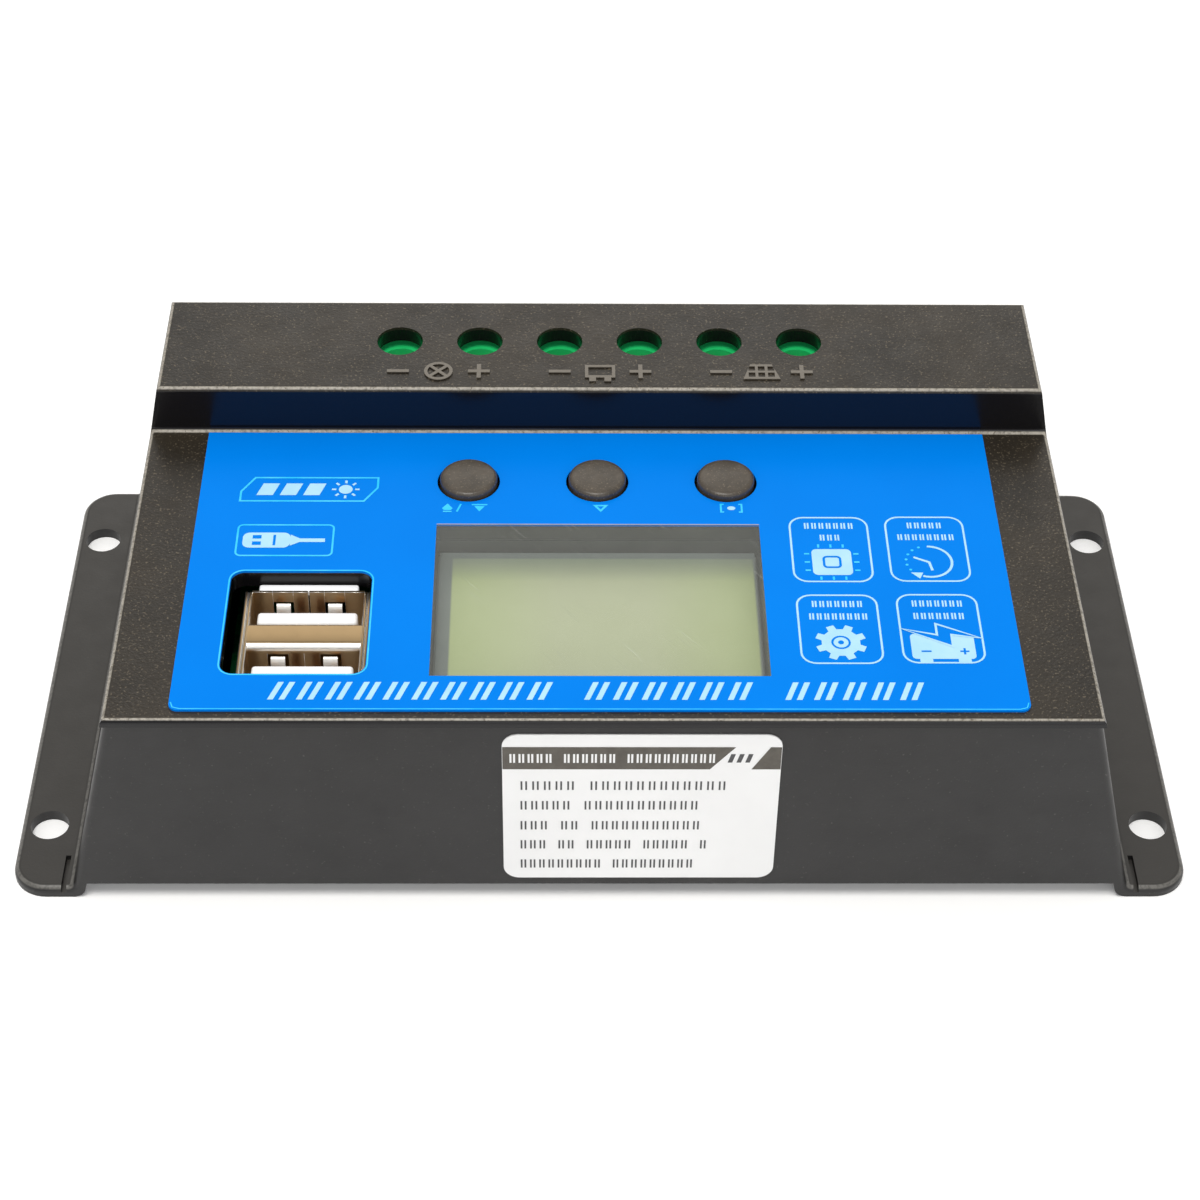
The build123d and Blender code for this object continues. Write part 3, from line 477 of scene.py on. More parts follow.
# ABS moulded against a spark-eroded tool: a crisp grain that glitters; 0.3 mm grit
# is drawn slightly coarse so that it still shows at arm's length.
# Its rounded edges that look up carry a painted highlight, and its terminal holes and lip face are painted
# near-black as shade.
GRAINED_ABS = MouldedCover(
    "spark_eroded_abs_brown_black", "#2B251C", "#211D17", 0.4, patch=10.0, specular=0.36, fleck="#5A5143",
    fleck_size=0.28, fleck_edge=0.61, worn="#A09A8F", grains=(Grain(0.42, 0.05, 2.0), Grain(0.2, 0.02, 1.0)),
)
# The same resin with a finer grain, smoothed a little by fingers.
BUTTON_ABS = Finish(
    "fine_grained_abs_button", "#4C443A", "#3F3931", 0.36, patch=2.0, fleck="#6A6052",
    fleck_size=0.2, fleck_edge=0.62, grains=(Grain(0.25, 0.016, 2.0),),
)
# Polyester film printed from behind: a deep even blue under a fine velvet surface.
PRINTED_FILM = Finish(
    "printed_polyester_film_blue", "#007EE6", "#007BE2", 0.34, patch=20.0, spread=0.015, specular=0.02,
    grains=(Grain(0.14, 0.0012, 1.0),),
)
# Screen-printed ink: matt and slightly uneven where the mesh lifted.
CYAN_INK = Finish("screen_ink_cyan", "#22C2F8", "#48CEF9", 0.5, specular=0.2, patch=3.0,
                  grains=(Grain(0.2, 0.003, 1.0),))
PALE_INK = Finish("screen_ink_pale", "#A6D6EF", "#B0DCF2", 0.5, specular=0.2, patch=3.0,
                  grains=(Grain(0.2, 0.003, 1.0),))
# Bare cut edge of the film, frosted by the die.
CUT_EDGE = Finish("die_cut_film_edge", "#A39CA4", "#B4ADB3", 0.45, patch=4.0,
                  grains=(Grain(0.1, 0.002, 1.0),))
# Gloss polyester label stock and the inks that a thermal printer lays on it.
LABEL_STOCK = Finish("gloss_label_polyester", "#E4E4E4", "#E7E7E7", 0.3, patch=10.0, spread=0.01,
                     grains=(Grain(0.3, 0.001, 1.0),))
LABEL_BAND_INK = Finish("thermal_ribbon_brown_grey", "#4A453E", "#544F47", 0.5, patch=1.2,
                        grains=(Grain(0.3, 0.004, 1.0),))
LABEL_TEXT_INK = Finish("thermal_ribbon_black", "#3C3C3E", "#48484A", 0.5, patch=0.8,
                        grains=(Grain(0.3, 0.004, 1.0),))
# Twisted nematic display behind its polariser: a flat, slightly silky green-grey.
LCD_CELL = DisplayCell("lcd_polariser_green_grey", "#C3C4A9", "#C6C8AD", 0.34, patch=16.0, ior=1.5,
                       grains=(Grain(0.1, 0.0012, 1.0),))
WINDOW_FILM = ClearPane("hard_coated_clear_film", "#F4F6F2", "#E8EAE6", 0.12, patch=5.0, ior=1.57,
                        grains=(Grain(0.5, 0.002, 3.0),))
# Nickel plate over rolled steel: warm metal with faint rolling lines along the shell.
# Its folded edges carry a painted highlight and its level flats a painted dull warm reflection.
NICKEL_PLATE = PaintedSheenPlate(
    "nickel_plated_steel", "#C2A985", "#B79C79", 0.3, patch=4.0, spread=0.02, metallic=1.0,
    grains=(Grain(0.08, 0.0004, 1.0, (12.0, 1.0, 1.0)),),
)
# The same plate painted near-white, a painted highlight on the wall springs.
BRIGHT_NICKEL = Finish("nickel_plated_steel_painted_highlight", "#F6F4F0", "#ECE9E3", 0.4, patch=0.8, metallic=0.4)
# Bright zinc with a clear passivate: greyish metal, cloudy at the scale of a few mm.
ZINC_PLATE = Finish("zinc_plated_steel", "#C9C8C4", "#AEAEAB", 0.3, patch=1.6, metallic=1.0,
                    grains=(Grain(0.15, 0.002, 3.0),))
TIN_PLATE = Finish("tin_plated_brass", "#D2CDBE", "#BDB8A8", 0.32, patch=2.0, metallic=1.0,
                   grains=(Grain(0.12, 0.002, 2.0),))
GOLD_FLASH = Finish("gold_flashed_contact", "#D9A866", "#C48F4C", 0.22, patch=1.0, metallic=1.0,
                    grains=(Grain(0.1, 0.001, 2.0),))
# Polyamide: smooth from the tool but never glassy.
# The glow on the green and white nylon is painted light that brightens them.
GREEN_NYLON = Finish("moulded_polyamide_green", "#25CC72", "#1FC069", 0.34, glow=0.09, patch=3.0, ior=1.53,
                     grains=(Grain(0.5, 0.006, 2.0),))
WHITE_NYLON = Finish("moulded_polyamide_white", "#F8F9FA", "#F2F3F5", 0.36, patch=3.0, glow=0.11, ior=1.53,
                     grains=(Grain(0.4, 0.004, 2.0),))
BLACK_PLASTIC = Finish("moulded_polycarbonate_black", "#18181A", "#202022", 0.42, patch=4.0, ior=1.58,
                       grains=(Grain(0.4, 0.006, 2.0),))
ACRYLIC = Finish("moulded_acrylic_light_guide", "#DDE2D4", "#E6EADF", 0.16, patch=5.0, ior=1.49,
                 grains=(Grain(0.8, 0.003, 1.0),))
EPOXY = Finish("moulded_epoxy_black", "#232325", "#2B2B2D", 0.56, patch=1.5, ior=1.55,
               grains=(Grain(0.12, 0.006, 2.0),))
BOARD = SolderMask("glass_epoxy_green_mask", "#0F5A30", "#125F35", 0.3, patch=6.0, ior=1.55,
                   grains=(Grain(0.9, 0.01, 2.0),))
PAD = Finish("filled_silicone_pad", "#8F9698", "#868D90", 0.72, patch=2.0, grains=(Grain(0.3, 0.02, 3.0),))
SLEEVE = Finish("shrunk_pvc_sleeve", "#1B2136", "#20273E", 0.25, patch=4.0, ior=1.53,
                grains=(Grain(1.5, 0.01, 1.0),))
FERRITE = Finish("sintered_ferrite", "#3A3A3D", "#323235", 0.62, patch=1.5, grains=(Grain(0.2, 0.012, 3.0),))
COPPER = Winding("enamelled_copper_winding", "#C46A38", "#A9562B", 0.28, patch=1.5, metallic=0.9, coat=0.6)
SHUNT_ALLOY = Finish("rolled_manganin_strip", "#B5A48F", "#A2927E", 0.34, patch=2.0, metallic=1.0,
                     grains=(Grain(0.1, 0.002, 2.0, (10.0, 1.0, 1.0)),))
FLOOR_PAPER = Finish("matt_paper_backdrop", "#FEFEFE", "#FCFCFC", 0.9, patch=300.0, glow=0.1)


class Plating(Enum):
    """Finish of each CAD node that keeps its own mesh."""

    display_window = WINDOW_FILM
    lcd_backlight = ACRYLIC
    lcd_pins = TIN_PLATE
    switch_bodies = BLACK_PLASTIC
    switch_plates = ZINC_PLATE
    terminal_contacts = TIN_PLATE
    circuit_board = BOARD
    board_standoffs = ZINC_PLATE
    board_screws = ZINC_PLATE
    housing_screws = ZINC_PLATE
    thermal_pad = PAD
    mosfet_tabs = TIN_PLATE
    power_mosfets = EPOXY
    mosfet_screws = ZINC_PLATE
    reservoir_capacitor = SLEEVE
    small_capacitor = SLEEVE
    controller_chip = EPOXY
    regulator_chip = EPOXY
    catch_diode = EPOXY
    inductor_core = FERRITE
    power_inductor = COPPER
    current_shunt = SHUNT_ALLOY
    face_overlay = PRINTED_FILM
    rating_label = LABEL_STOCK
    chassis = POWDER_COAT
    top_cover = GRAINED_ABS
    lcd_glass = LCD_CELL
    lcd_frame = BLACK_PLASTIC
    usb_shell = NICKEL_PLATE
    terminal_block = GREEN_NYLON
    switch_plunger_left = BLACK_PLASTIC
    switch_plunger_middle = BLACK_PLASTIC
    switch_plunger_right = BLACK_PLASTIC


def dress_node(node: str, finish: Finish) -> None:
    """Give a CAD node the material of a finish."""
    mesh = frame["nodes"][node].data
    mesh.materials.clear()
    mesh.materials.append(finish.material())
    LOG.info("dressed %s with %s", node, finish.name)


def add_piece(name: str, bm: bmesh.types.BMesh, finish: Finish, body: str,
              stands_for: Sequence[str] = ()) -> bpy.types.Object:
    """Turn a bmesh into a piece that rides on a body.

    Args:
        name: The piece's name.
        bm: The shape in metres; it is freed here.
        finish: What the piece is made of.
        body: The CAD body that carries it.
        stands_for: CAD nodes that it replaces.

    Returns:
        The new object.
    """
    mesh = bpy.data.meshes.new(name)
    bmesh.ops.recalc_face_normals(bm, faces=bm.faces)
    bm.to_mesh(mesh)
    bm.free()
    mesh.shade_smooth()
    mesh.set_sharp_from_angle(angle=math.radians(38))
    mesh.materials.append(finish.material())
    piece = bpy.data.objects.new(name, mesh)
    bpy.context.scene.collection.objects.link(piece)
    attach(piece, body)
    if stands_for:
        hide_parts(*stands_for)
    LOG.info("built %s on %s: %d faces", name, body, len(mesh.polygons))
    return piece


def lathe(bm: bmesh.types.BMesh, profile: Sequence[Point], centre: Point, steps: int = 64) -> None:
    """Turn a profile of (radius, height) about an upright axis.

    Args:
        bm: The bmesh that gets the surface.
        profile: Points in millimetres from the axis outwards and back.
        centre: The axis in millimetres.
        steps: Faces round the axis.
    """
    verts = [bm.verts.new(((centre[0] + r) * MM, centre[1] * MM, z * MM)) for r, z in profile]
    edges = [bm.edges.new(pair) for pair in zip(verts, verts[1:])]
    axis_point = Vector((centre[0] * MM, centre[1] * MM, 0))
    bmesh.ops.spin(bm, geom=verts + edges, cent=axis_point, axis=(0, 0, 1),
                   angle=2 * math.pi, steps=steps, use_merge=True)
    bmesh.ops.remove_doubles(bm, verts=bm.verts, dist=1e-7)


def soft_box(bm: bmesh.types.BMesh, low: Sequence[float], high: Sequence[float],
             radius: float, segments: int = 3) -> None:
    """Add a box with rounded edges.

    Args:
        bm: The bmesh that gets the box.
        low: Lowest corner in millimetres.
        high: Highest corner in millimetres.
        radius: Rounding of every edge in millimetres.
        segments: Faces across the rounding.
    """
    size = Vector([h - l for l, h in zip(low, high)]) * MM
    middle = Vector([(h + l) / 2 for l, h in zip(low, high)]) * MM
    matrix = Matrix.Translation(middle) @ Matrix.Diagonal((*size, 1))
    made = bmesh.ops.create_cube(bm, size=1.0, matrix=matrix)
    edges = list({edge for vert in made["verts"] for edge in vert.link_edges})
    bmesh.ops.bevel(bm, geom=edges, offset=radius * MM, segments=segments, profile=0.5,
                    affect="EDGES", clamp_overlap=True)


def strip(bm: bmesh.types.BMesh, path: Sequence[Point], thickness: float, x: float, width: float) -> None:
    """Bend a flat metal strip along a path seen from the side.

    Args:
        bm: The bmesh that gets the strip.
        path: Middle line as (y, z) in millimetres.
        thickness: Metal thickness in millimetres.
        x: Middle of the strip along X.
        width: Width along X.
    """
    rings = []
    for index, (y, z) in enumerate(path):
        ahead = path[min(index + 1, len(path) - 1)]
        behind = path[max(index - 1, 0)]
        along = Vector((ahead[0] - behind[0], ahead[1] - behind[1])).normalized()
        side = Vector((-along.y, along.x)) * thickness / 2
        corners = [(x + w * width / 2, y + s * side.x, z + s * side.y)
                   for w, s in ((-1, -1), (1, -1), (1, 1), (-1, 1))]
        rings.append([bm.verts.new(Vector(corner) * MM) for corner in corners])
    for first, second in zip(rings, rings[1:]):
        for i in range(4):
            bm.faces.new((first[i], first[(i + 1) % 4], second[(i + 1) % 4], second[i]))
    bm.faces.new(rings[0])
    bm.faces.new(rings[-1])


def softened(node: str, finish: Finish, body: str, radius: float,
             segments: int = 2) -> bpy.types.Object:
    """Stand a copy of a CAD node with broken edges in for it.

    Args:
        node: The CAD node.
        finish: What it is made of.
        body: The body that carries it.
        radius: Rounding of the sharp edges in millimetres.
        segments: Faces across the rounding.

    Returns:
        The new object.
    """
    bm = bmesh.new()
    bm.from_mesh(frame["nodes"][node].data)
    bmesh.ops.remove_doubles(bm, verts=bm.verts, dist=1e-7)
    bmesh.ops.dissolve_limit(bm, angle_limit=math.radians(0.5), verts=bm.verts, edges=bm.edges)
    sharp = [edge for edge in bm.edges if edge.is_manifold and edge.calc_face_angle() > math.radians(50)
             and edge.calc_length() > 2.2 * radius * MM]
    bmesh.ops.bevel(bm, geom=sharp, offset=radius * MM, segments=segments, profile=0.5,
                    affect="EDGES", clamp_overlap=True)
    return add_piece(node + "_body", bm, finish, body, [node])


class Ink(Enum):
    """Inks that the artwork is printed in."""

    CYAN = CYAN_INK
    PALE = PALE_INK
    BAND = LABEL_BAND_INK
    TEXT = LABEL_TEXT_INK
    PAPER = LABEL_STOCK
    BLUE = PRINTED_FILM
    EDGE = CUT_EDGE


@dataclass
class Artwork:
    """Flat printed shapes on one plane, drawn in millimetres and gathered by ink.

    Attributes:
        name: Start of the pieces' names.
        slot: The record's material slot of the printed part; not used.
        to_space: Turns a drawn point and a layer number into a point in millimetres.
        centre: Where the point (0, 0) of the drawing lies on the plane.
        turned: Whether the drawing is turned by half a turn.
        layer: Which layer of ink is printed, counted outwards from 1.
        stagger: Tiny step in height that keeps crossing shapes from lying in one plane.
        shapes: The outlines printed so far, by ink.
    """

    name: str
    slot: str
    to_space: Callable[[float, float, int], tuple[float, float, float]]
    centre: Point = (0.0, 0.0)
    turned: bool = False
    layer: int = 1
    stagger: float = 0.001
    shapes: dict[Ink, list[list[tuple[float, float, float]]]] = field(default_factory=dict)

    def move_to(self, x: float, y: float, turned: bool = False) -> None:
        """Draw about another centre from here on."""
        self.centre = (x, y)
        self.turned = turned

    def fill(self, ink: Ink, points: Iterable[Point]) -> None:
        """Print one filled outline."""
        sign = -1 if self.turned else 1
        placed = [self.to_space(self.centre[0] + sign * u, self.centre[1] + sign * v, self.layer)
                  for u, v in points]
        self.shapes.setdefault(ink, []).append(placed)

    def bar(self, ink: Ink, u: float, v: float, width: float, height: float, slant: float = 0.0) -> None:
        """Print a bar about (u, v), its top pushed sideways by slant."""
        w, h, s = width / 2, height / 2, slant / 2
        self.fill(ink, [(u - w - s, v - h), (u + w - s, v - h), (u + w + s, v + h), (u - w + s, v + h)])

    def line(self, ink: Ink, points: Sequence[Point], width: float, closed: bool = False) -> None:
        """Print a line of even width through the points, with mitred corners."""
        count = len(points)
        left, right = [], []
        for i in range(count):
            before = Vector(points[i - 1] if closed or i > 0 else points[i])
            here = Vector(points[i])
            after = Vector(points[(i + 1) % count] if closed or i < count - 1 else points[i])
            first = (here - before).normalized() if (here - before).length else (after - here).normalized()
            second = (after - here).normalized() if (after - here).length else first
            middle = (first + second).normalized()
            normal = Vector((-middle.y, middle.x))
            reach = width / 2 / max(normal.dot(Vector((-second.y, second.x))), 0.35)
            left.append(tuple(here + normal * reach))
            right.append(tuple(here - normal * reach))
        for i in range(count if closed else count - 1):
            j = (i + 1) % count
            self.fill(ink, [left[i], right[i], right[j], left[j]])

    def words(self, ink: Ink, u: float, v: float, lengths: Sequence[int], pitch: float,
              height: float, stroke: float, slant: float = 0.0) -> None:
        """Print a line of plain paired strokes, one group for each number, centred on (u, v).

        Args:
            ink: The ink.
            u: Middle of the line.
            v: Middle of the line's height.
            lengths: Pairs of strokes in each group.
            pitch: Step from pair to pair.
            height: Height of the strokes.
            stroke: Width of the strokes.
            slant: How far a stroke's top leans.
        """
        at = u - (sum(lengths) + len(lengths) - 1) * pitch / 2
        for length in lengths:
            for _ in range(length):
                for share in (0.3, 0.7):
                    self.bar(ink, at + pitch * share, v, stroke, height, slant)
                at += pitch
            at += pitch

    def build(self, body: str) -> None:
        """Make one piece for each ink used."""
        base = Vector(self.to_space(0, 0, 0))
        outward = (Vector(self.to_space(0, 0, 1)) - base).normalized()
        for ink, outlines in self.shapes.items():
            bm = bmesh.new()
            for number, outline in enumerate(outlines):
                raised = [Vector(point) + outward * self.stagger * (number % 8) for point in outline]
                verts = [bm.verts.new(point * MM) for point in raised]
                for corners in tessellate_polygon([raised]):
                    bm.faces.new([verts[corner] for corner in corners])
            for face in bm.faces:
                face.normal_update()
                if face.normal.dot(outward) < 0:
                    face.normal_flip()
            mesh = bpy.data.meshes.new(f"{self.name}_{ink.name.lower()}")
            bm.to_mesh(mesh)
            bm.free()
            mesh.materials.append(ink.value.material())
            piece = bpy.data.objects.new(mesh.name, mesh)
            bpy.context.scene.collection.objects.link(piece)
            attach(piece, body)
            LOG.info("printed %s: %d shapes", piece.name, len(outlines))


def rounded_outline(width: float, height: float, radius: float, steps: int = 6) -> list[Point]:
    """Return the outline of a rounded rectangle about (0, 0).

    Args:
        width: Full width.
        height: Full height.
        radius: Corner radius.
        steps: Points on each corner, less one.
    """
    points = []
    for corner, (sx, sy) in enumerate(((1, 1), (-1, 1), (-1, -1), (1, -1))):
        cx, cy = sx * (width / 2 - radius), sy * (height / 2 - radius)
        for step in range(steps + 1):
            angle = math.pi / 2 * (corner + step / steps)
            points.append((cx + radius * math.cos(angle), cy + radius * math.sin(angle)))
    return points


def arc(radius: float, start: float, end: float, steps: int = 24) -> list[Point]:
    """Return points on an arc about (0, 0), with its angles in degrees."""
    angles = [math.radians(start + (end - start) * i / steps) for i in range(steps + 1)]
    return [(radius * math.cos(a), radius * math.sin(a)) for a in angles]


@dataclass
class FaceArtwork:
    """Everything printed on the blue face film, made to be read from the wire side."""

    film_top: float = 28.75
    left: float = -46.5
    right: float = 45.7
    front: float = -33.6
    box_line: float = 0.23
    lift: float = 0.02

    def on_film(self, x: float, y: float, layer: int) -> tuple[float, float, float]:
        """Place a drawn point on the film, each layer of ink above the last."""
        return (x, y, self.film_top + self.lift * layer)

    def build(self) -> None:
        """Print the borders, the title strokes, the pictogram boxes and the button signs."""
        art = Artwork("face_print", "film_blue", self.on_film)
        self.borders(art)
        art.move_to(-0.75, -30.65, turned=True)
        art.words(Ink.PALE, 0, 0, (5, 6, 10), 3.08, 2.7, 0.62, 1.0)
        self.plaque(art)
        self.plug_box(art)
        self.chip_box(art)
        self.timer_box(art)
        self.gear_box(art)
        self.battery_box(art)
        self.button_signs(art)
        art.build("controller")

    def borders(self, art: Artwork) -> None:
        """Print the thin line along the film's front and round the socket opening."""
        art.move_to(0, 0)
        edge, y = 0.2, self.front + 0.2
        art.line(Ink.CYAN, [(self.left + edge, y + 1.0), (self.left + edge + 0.25, y + 0.25),
                            (self.left + 1.2, y), (self.right - 1.2, y),
                            (self.right - edge - 0.25, y + 0.25), (self.right - edge, y + 1.0)], 0.12)
        art.move_to(-33.7, -19.7)
        art.line(Ink.CYAN, rounded_outline(16.1, 16.9, 1.6), 0.17, closed=True)
        art.move_to(-0.4, -3.24)
        art.bar(Ink.EDGE, 0, 0, 37.0, 0.12)

    def plaque(self, art: Artwork) -> None:
        """Print the chamfered plaque with a plain sun and three bars."""
        art.move_to(-33.85, 2.9, turned=True)
        corners = [(-7.9, -2.1), (6.4, -2.1), (7.9, 0.4), (7.9, 2.1), (-6.4, 2.1), (-7.9, -0.3)]
        art.line(Ink.CYAN, corners, 0.24, closed=True)
        art.fill(Ink.PALE, [(x - 4.2, y) for x, y in arc(0.8, 0, 345, 20)])
        for step in range(8):
            a = math.radians(45 * step)
            ray = [(1.1 * math.cos(a) - 4.2, 1.1 * math.sin(a)), (1.6 * math.cos(a) - 4.2, 1.6 * math.sin(a))]
            art.line(Ink.PALE, ray, 0.28)
        for index in range(3):
            art.bar(Ink.PALE, -0.6 + 2.7 * index, 0, 1.9, 2.1, 0.7)

    def plug_box(self, art: Artwork) -> None:
        """Print the box with a plug and its lead."""
        art.move_to(-36.05, -6.1, turned=True)
        art.line(Ink.CYAN, rounded_outline(10.9, 5.3, 0.6), 0.22, closed=True)
        art.fill(Ink.PALE, [(x + 2.1, y) for x, y in rounded_outline(5.4, 2.6, 0.8)])
        art.fill(Ink.PALE, [(-0.6, -0.95), (-0.6, 0.95), (-1.7, 0.3), (-1.7, -0.3)])
        art.bar(Ink.PALE, -3.1, 0, 2.9, 0.6)
        art.layer = 2
        for v in (-0.55, 0.55):
            art.bar(Ink.BLUE, 3.2, v, 1.0, 0.6)
        art.bar(Ink.BLUE, 1.2, 0, 0.3, 1.8)
        art.layer = 1

    def captioned_box(self, art: Artwork, x: float, y: float, lengths: tuple[int, int]) -> None:
        """Print a rounded box with two caption lines and move to the pictogram's place.

        Args:
            art: The artwork.
            x: Middle of the box.
            y: Middle of the box.
            lengths: Pairs of strokes in the caption's near and far lines.
        """
        art.move_to(x, y, turned=True)
        art.line(Ink.PALE, rounded_outline(8.9, 11.0, 1.6), self.box_line, closed=True)
        for length, v in zip(lengths, (-2.0, -4.05)):
            art.words(Ink.PALE, 0, v, (length,), 0.84, 1.0, 0.2)
        art.move_to(x, y - 2.2, turned=True)

    def chip_box(self, art: Artwork) -> None:
        """Print the box with a processor seen from above."""
        self.captioned_box(art, 26.05, -7.5, (3, 7))
        art.fill(Ink.PALE, rounded_outline(4.5, 4.4, 0.6))
        for offset in (-1.4, 0.0, 1.4):
            for side in (-1, 1):
                art.bar(Ink.CYAN, side * 2.8, offset, 0.6, 0.24)
                art.bar(Ink.CYAN, offset, side * 2.75, 0.24, 0.55)
        art.layer = 2
        art.line(Ink.BLUE, rounded_outline(1.85, 1.8, 0.4), 0.28, closed=True)
        art.layer = 1

    def timer_box(self, art: Artwork) -> None:
        """Print the box with a clock face and its arrow."""
        self.captioned_box(art, 37.05, -7.4, (8, 5))
        radius = 2.6
        art.line(Ink.PALE, arc(radius, 270, 70), 0.3)
        end, wing = math.radians(66), 0.55
        ahead = Vector((math.sin(end), -math.cos(end)))
        root = Vector((math.cos(end), math.sin(end))) * radius
        out = Vector((math.cos(end), math.sin(end))) * wing
        art.fill(Ink.PALE, [tuple(root - out), tuple(root + out), tuple(root + ahead * 1.3)])
        for angle in range(-68, 36, 20):
            middle = arc(radius, angle, angle + 1, 1)[0]
            art.fill(Ink.CYAN, [(middle[0] + u, middle[1] + v) for u, v in arc(0.17, 0, 330, 11)])
        art.line(Ink.PALE, [(-0.25, 1.5), (0.0, 0.1), (1.7, -0.75)], 0.3)

    def gear_box(self, art: Artwork) -> None:
        """Print the box with a gear."""
        self.captioned_box(art, 26.05, -20.8, (8, 7))
        outline = []
        for tooth in range(8):
            for radius, turn in ((2.15, -13), (2.85, -9), (2.85, 9), (2.15, 13)):
                a = math.radians(45 * tooth + turn + 22.5)
                outline.append((radius * math.cos(a), radius * math.sin(a)))
        art.fill(Ink.PALE, outline)
        art.layer = 2
        art.line(Ink.BLUE, arc(0.95, 0, 345, 23), 0.24, closed=True)
        art.fill(Ink.BLUE, arc(0.32, 0, 345, 15))
        art.layer = 1

    def battery_box(self, art: Artwork) -> None:
        """Print the box with a battery under a flash."""
        self.captioned_box(art, 37.2, -20.7, (7, 7))
        art.fill(Ink.PALE, [(x, y + 0.7) for x, y in rounded_outline(7.0, 4.0, 0.5)])
        for u in (-2.2, 2.0):
            art.bar(Ink.PALE, u, 2.95, 1.4, 0.6)
        art.layer = 2
        flash = [(-4.3, -0.6), (-1.1, -1.15), (-1.1, 0.75), (4.35, -2.1), (0.5, -1.1), (0.5, -2.9)]
        art.fill(Ink.BLUE, flash)
        art.bar(Ink.BLUE, -2.3, 1.5, 1.0, 0.24)
        art.bar(Ink.BLUE, -2.3, 1.5, 0.24, 1.0)
        art.bar(Ink.BLUE, 1.9, 1.5, 1.1, 0.24)
        art.layer = 3
        art.line(Ink.PALE, flash, 0.26, closed=True)
        art.layer = 1

    def button_signs(self, art: Artwork) -> None:
        """Print the small signs in front of the three buttons."""
        art.move_to(-17.75, -0.35)
        art.fill(Ink.CYAN, [(0.0, 0.75), (0.62, -0.1), (0.4, -0.42), (-0.4, -0.42), (-0.62, -0.1)])
        art.bar(Ink.CYAN, 0.0, -0.66, 1.0, 0.2)
        art.line(Ink.CYAN, [(1.1, -0.7), (1.55, 0.65)], 0.22)
        art.move_to(-14.05, -0.35)
        art.bar(Ink.CYAN, 0.0, 0.55, 1.8, 0.22)
        art.fill(Ink.CYAN, [(-0.62, 0.3), (0.62, 0.3), (0.0, -0.65)])
        art.move_to(-0.05, -0.35)
        art.line(Ink.CYAN, [(-0.66, 0.42), (0.66, 0.42), (0.0, -0.5)], 0.26, closed=True)
        art.move_to(15.05, -0.35)
        for side in (-1, 1):
            hook = [(side * 0.85, 0.68), (side * 1.2, 0.68), (side * 1.2, -0.68), (side * 0.85, -0.68)]
            art.line(Ink.CYAN, hook, 0.22)
        art.fill(Ink.PALE, [(u * 1.4, v) for u, v in arc(0.34, 0, 345, 15)])


@dataclass
class LabelArtwork:
    """Print on the white label: a dark band with a slanted gap and plain lines of blocks."""

    face: float = -34.65
    left: float = -11.0
    right: float = 19.2
    band_low: float = 20.85
    band_high: float = 24.25
    lift: float = 0.02

    def on_label(self, x: float, z: float, layer: int) -> tuple[float, float, float]:
        """Place a drawn point on the label, each layer of ink in front of the last."""
        return (x, self.face - self.lift * layer, z)

    def build(self) -> None:
        """Print the band, the ticks in its gap and five lines of blocks."""
        art = Artwork("label_print", "label_white", self.on_label)
        low, high = self.band_low, self.band_high
        art.fill(Ink.BAND, [(self.left + 0.05, low), (11.5, low), (14.2, high), (self.left + 0.05, high)])
        art.fill(Ink.BAND, [(16.0, low), (self.right - 0.05, low), (self.right - 0.05, high), (17.95, high)])
        art.layer = 2
        art.move_to(0.9, (low + high) / 2)
        art.words(Ink.PAPER, 0, 0, (5, 6, 10), 0.98, 1.35, 0.22)
        art.layer = 1
        art.move_to(14.75, (low + high) / 2)
        for index in range(3):
            art.bar(Ink.TEXT, (index - 1) * 0.95, 0, 0.5, 1.3, 0.35)
        rows = ((18.3, (5, 12), 1.27), (15.2, (5, 11), 1.17), (12.0, (3, 2, 11), 1.12),
                (8.9, (3, 2, 5, 5, 1), 1.05), (5.75, (9, 9), 1.03))
        for z, lengths, pitch in rows:
            width = (sum(lengths) + len(lengths) - 1) * pitch
            art.move_to(-9.3 + width / 2, z)
            art.words(Ink.TEXT, 0, 0, lengths, pitch, 1.35, 0.2)
        art.build("controller")


@dataclass
class Display:
    """The display cell under the window: two glasses in the polariser's finish, under the clear film, which
    keeps its CAD mesh.
    """

    glass_step: float = 0.5
    plate: float = 1.0

    def build(self) -> None:
        """Build the two glass plates, the upper one stepped back from its ledge."""
        low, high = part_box("lcd_glass")
        low, high = low / MM, high / MM
        bm = bmesh.new()
        soft_box(bm, (low.x, low.y, low.z), (high.x, high.y, low.z + self.plate), 0.06, 2)
        step = self.glass_step
        soft_box(bm, (low.x + step / 2, low.y + 2 * step, low.z + self.plate + 0.01),
                 (high.x - step / 2, high.y - step, high.z), 0.08, 2)
        add_piece("display_cell", bm, LCD_CELL, "controller", ["lcd_glass"])


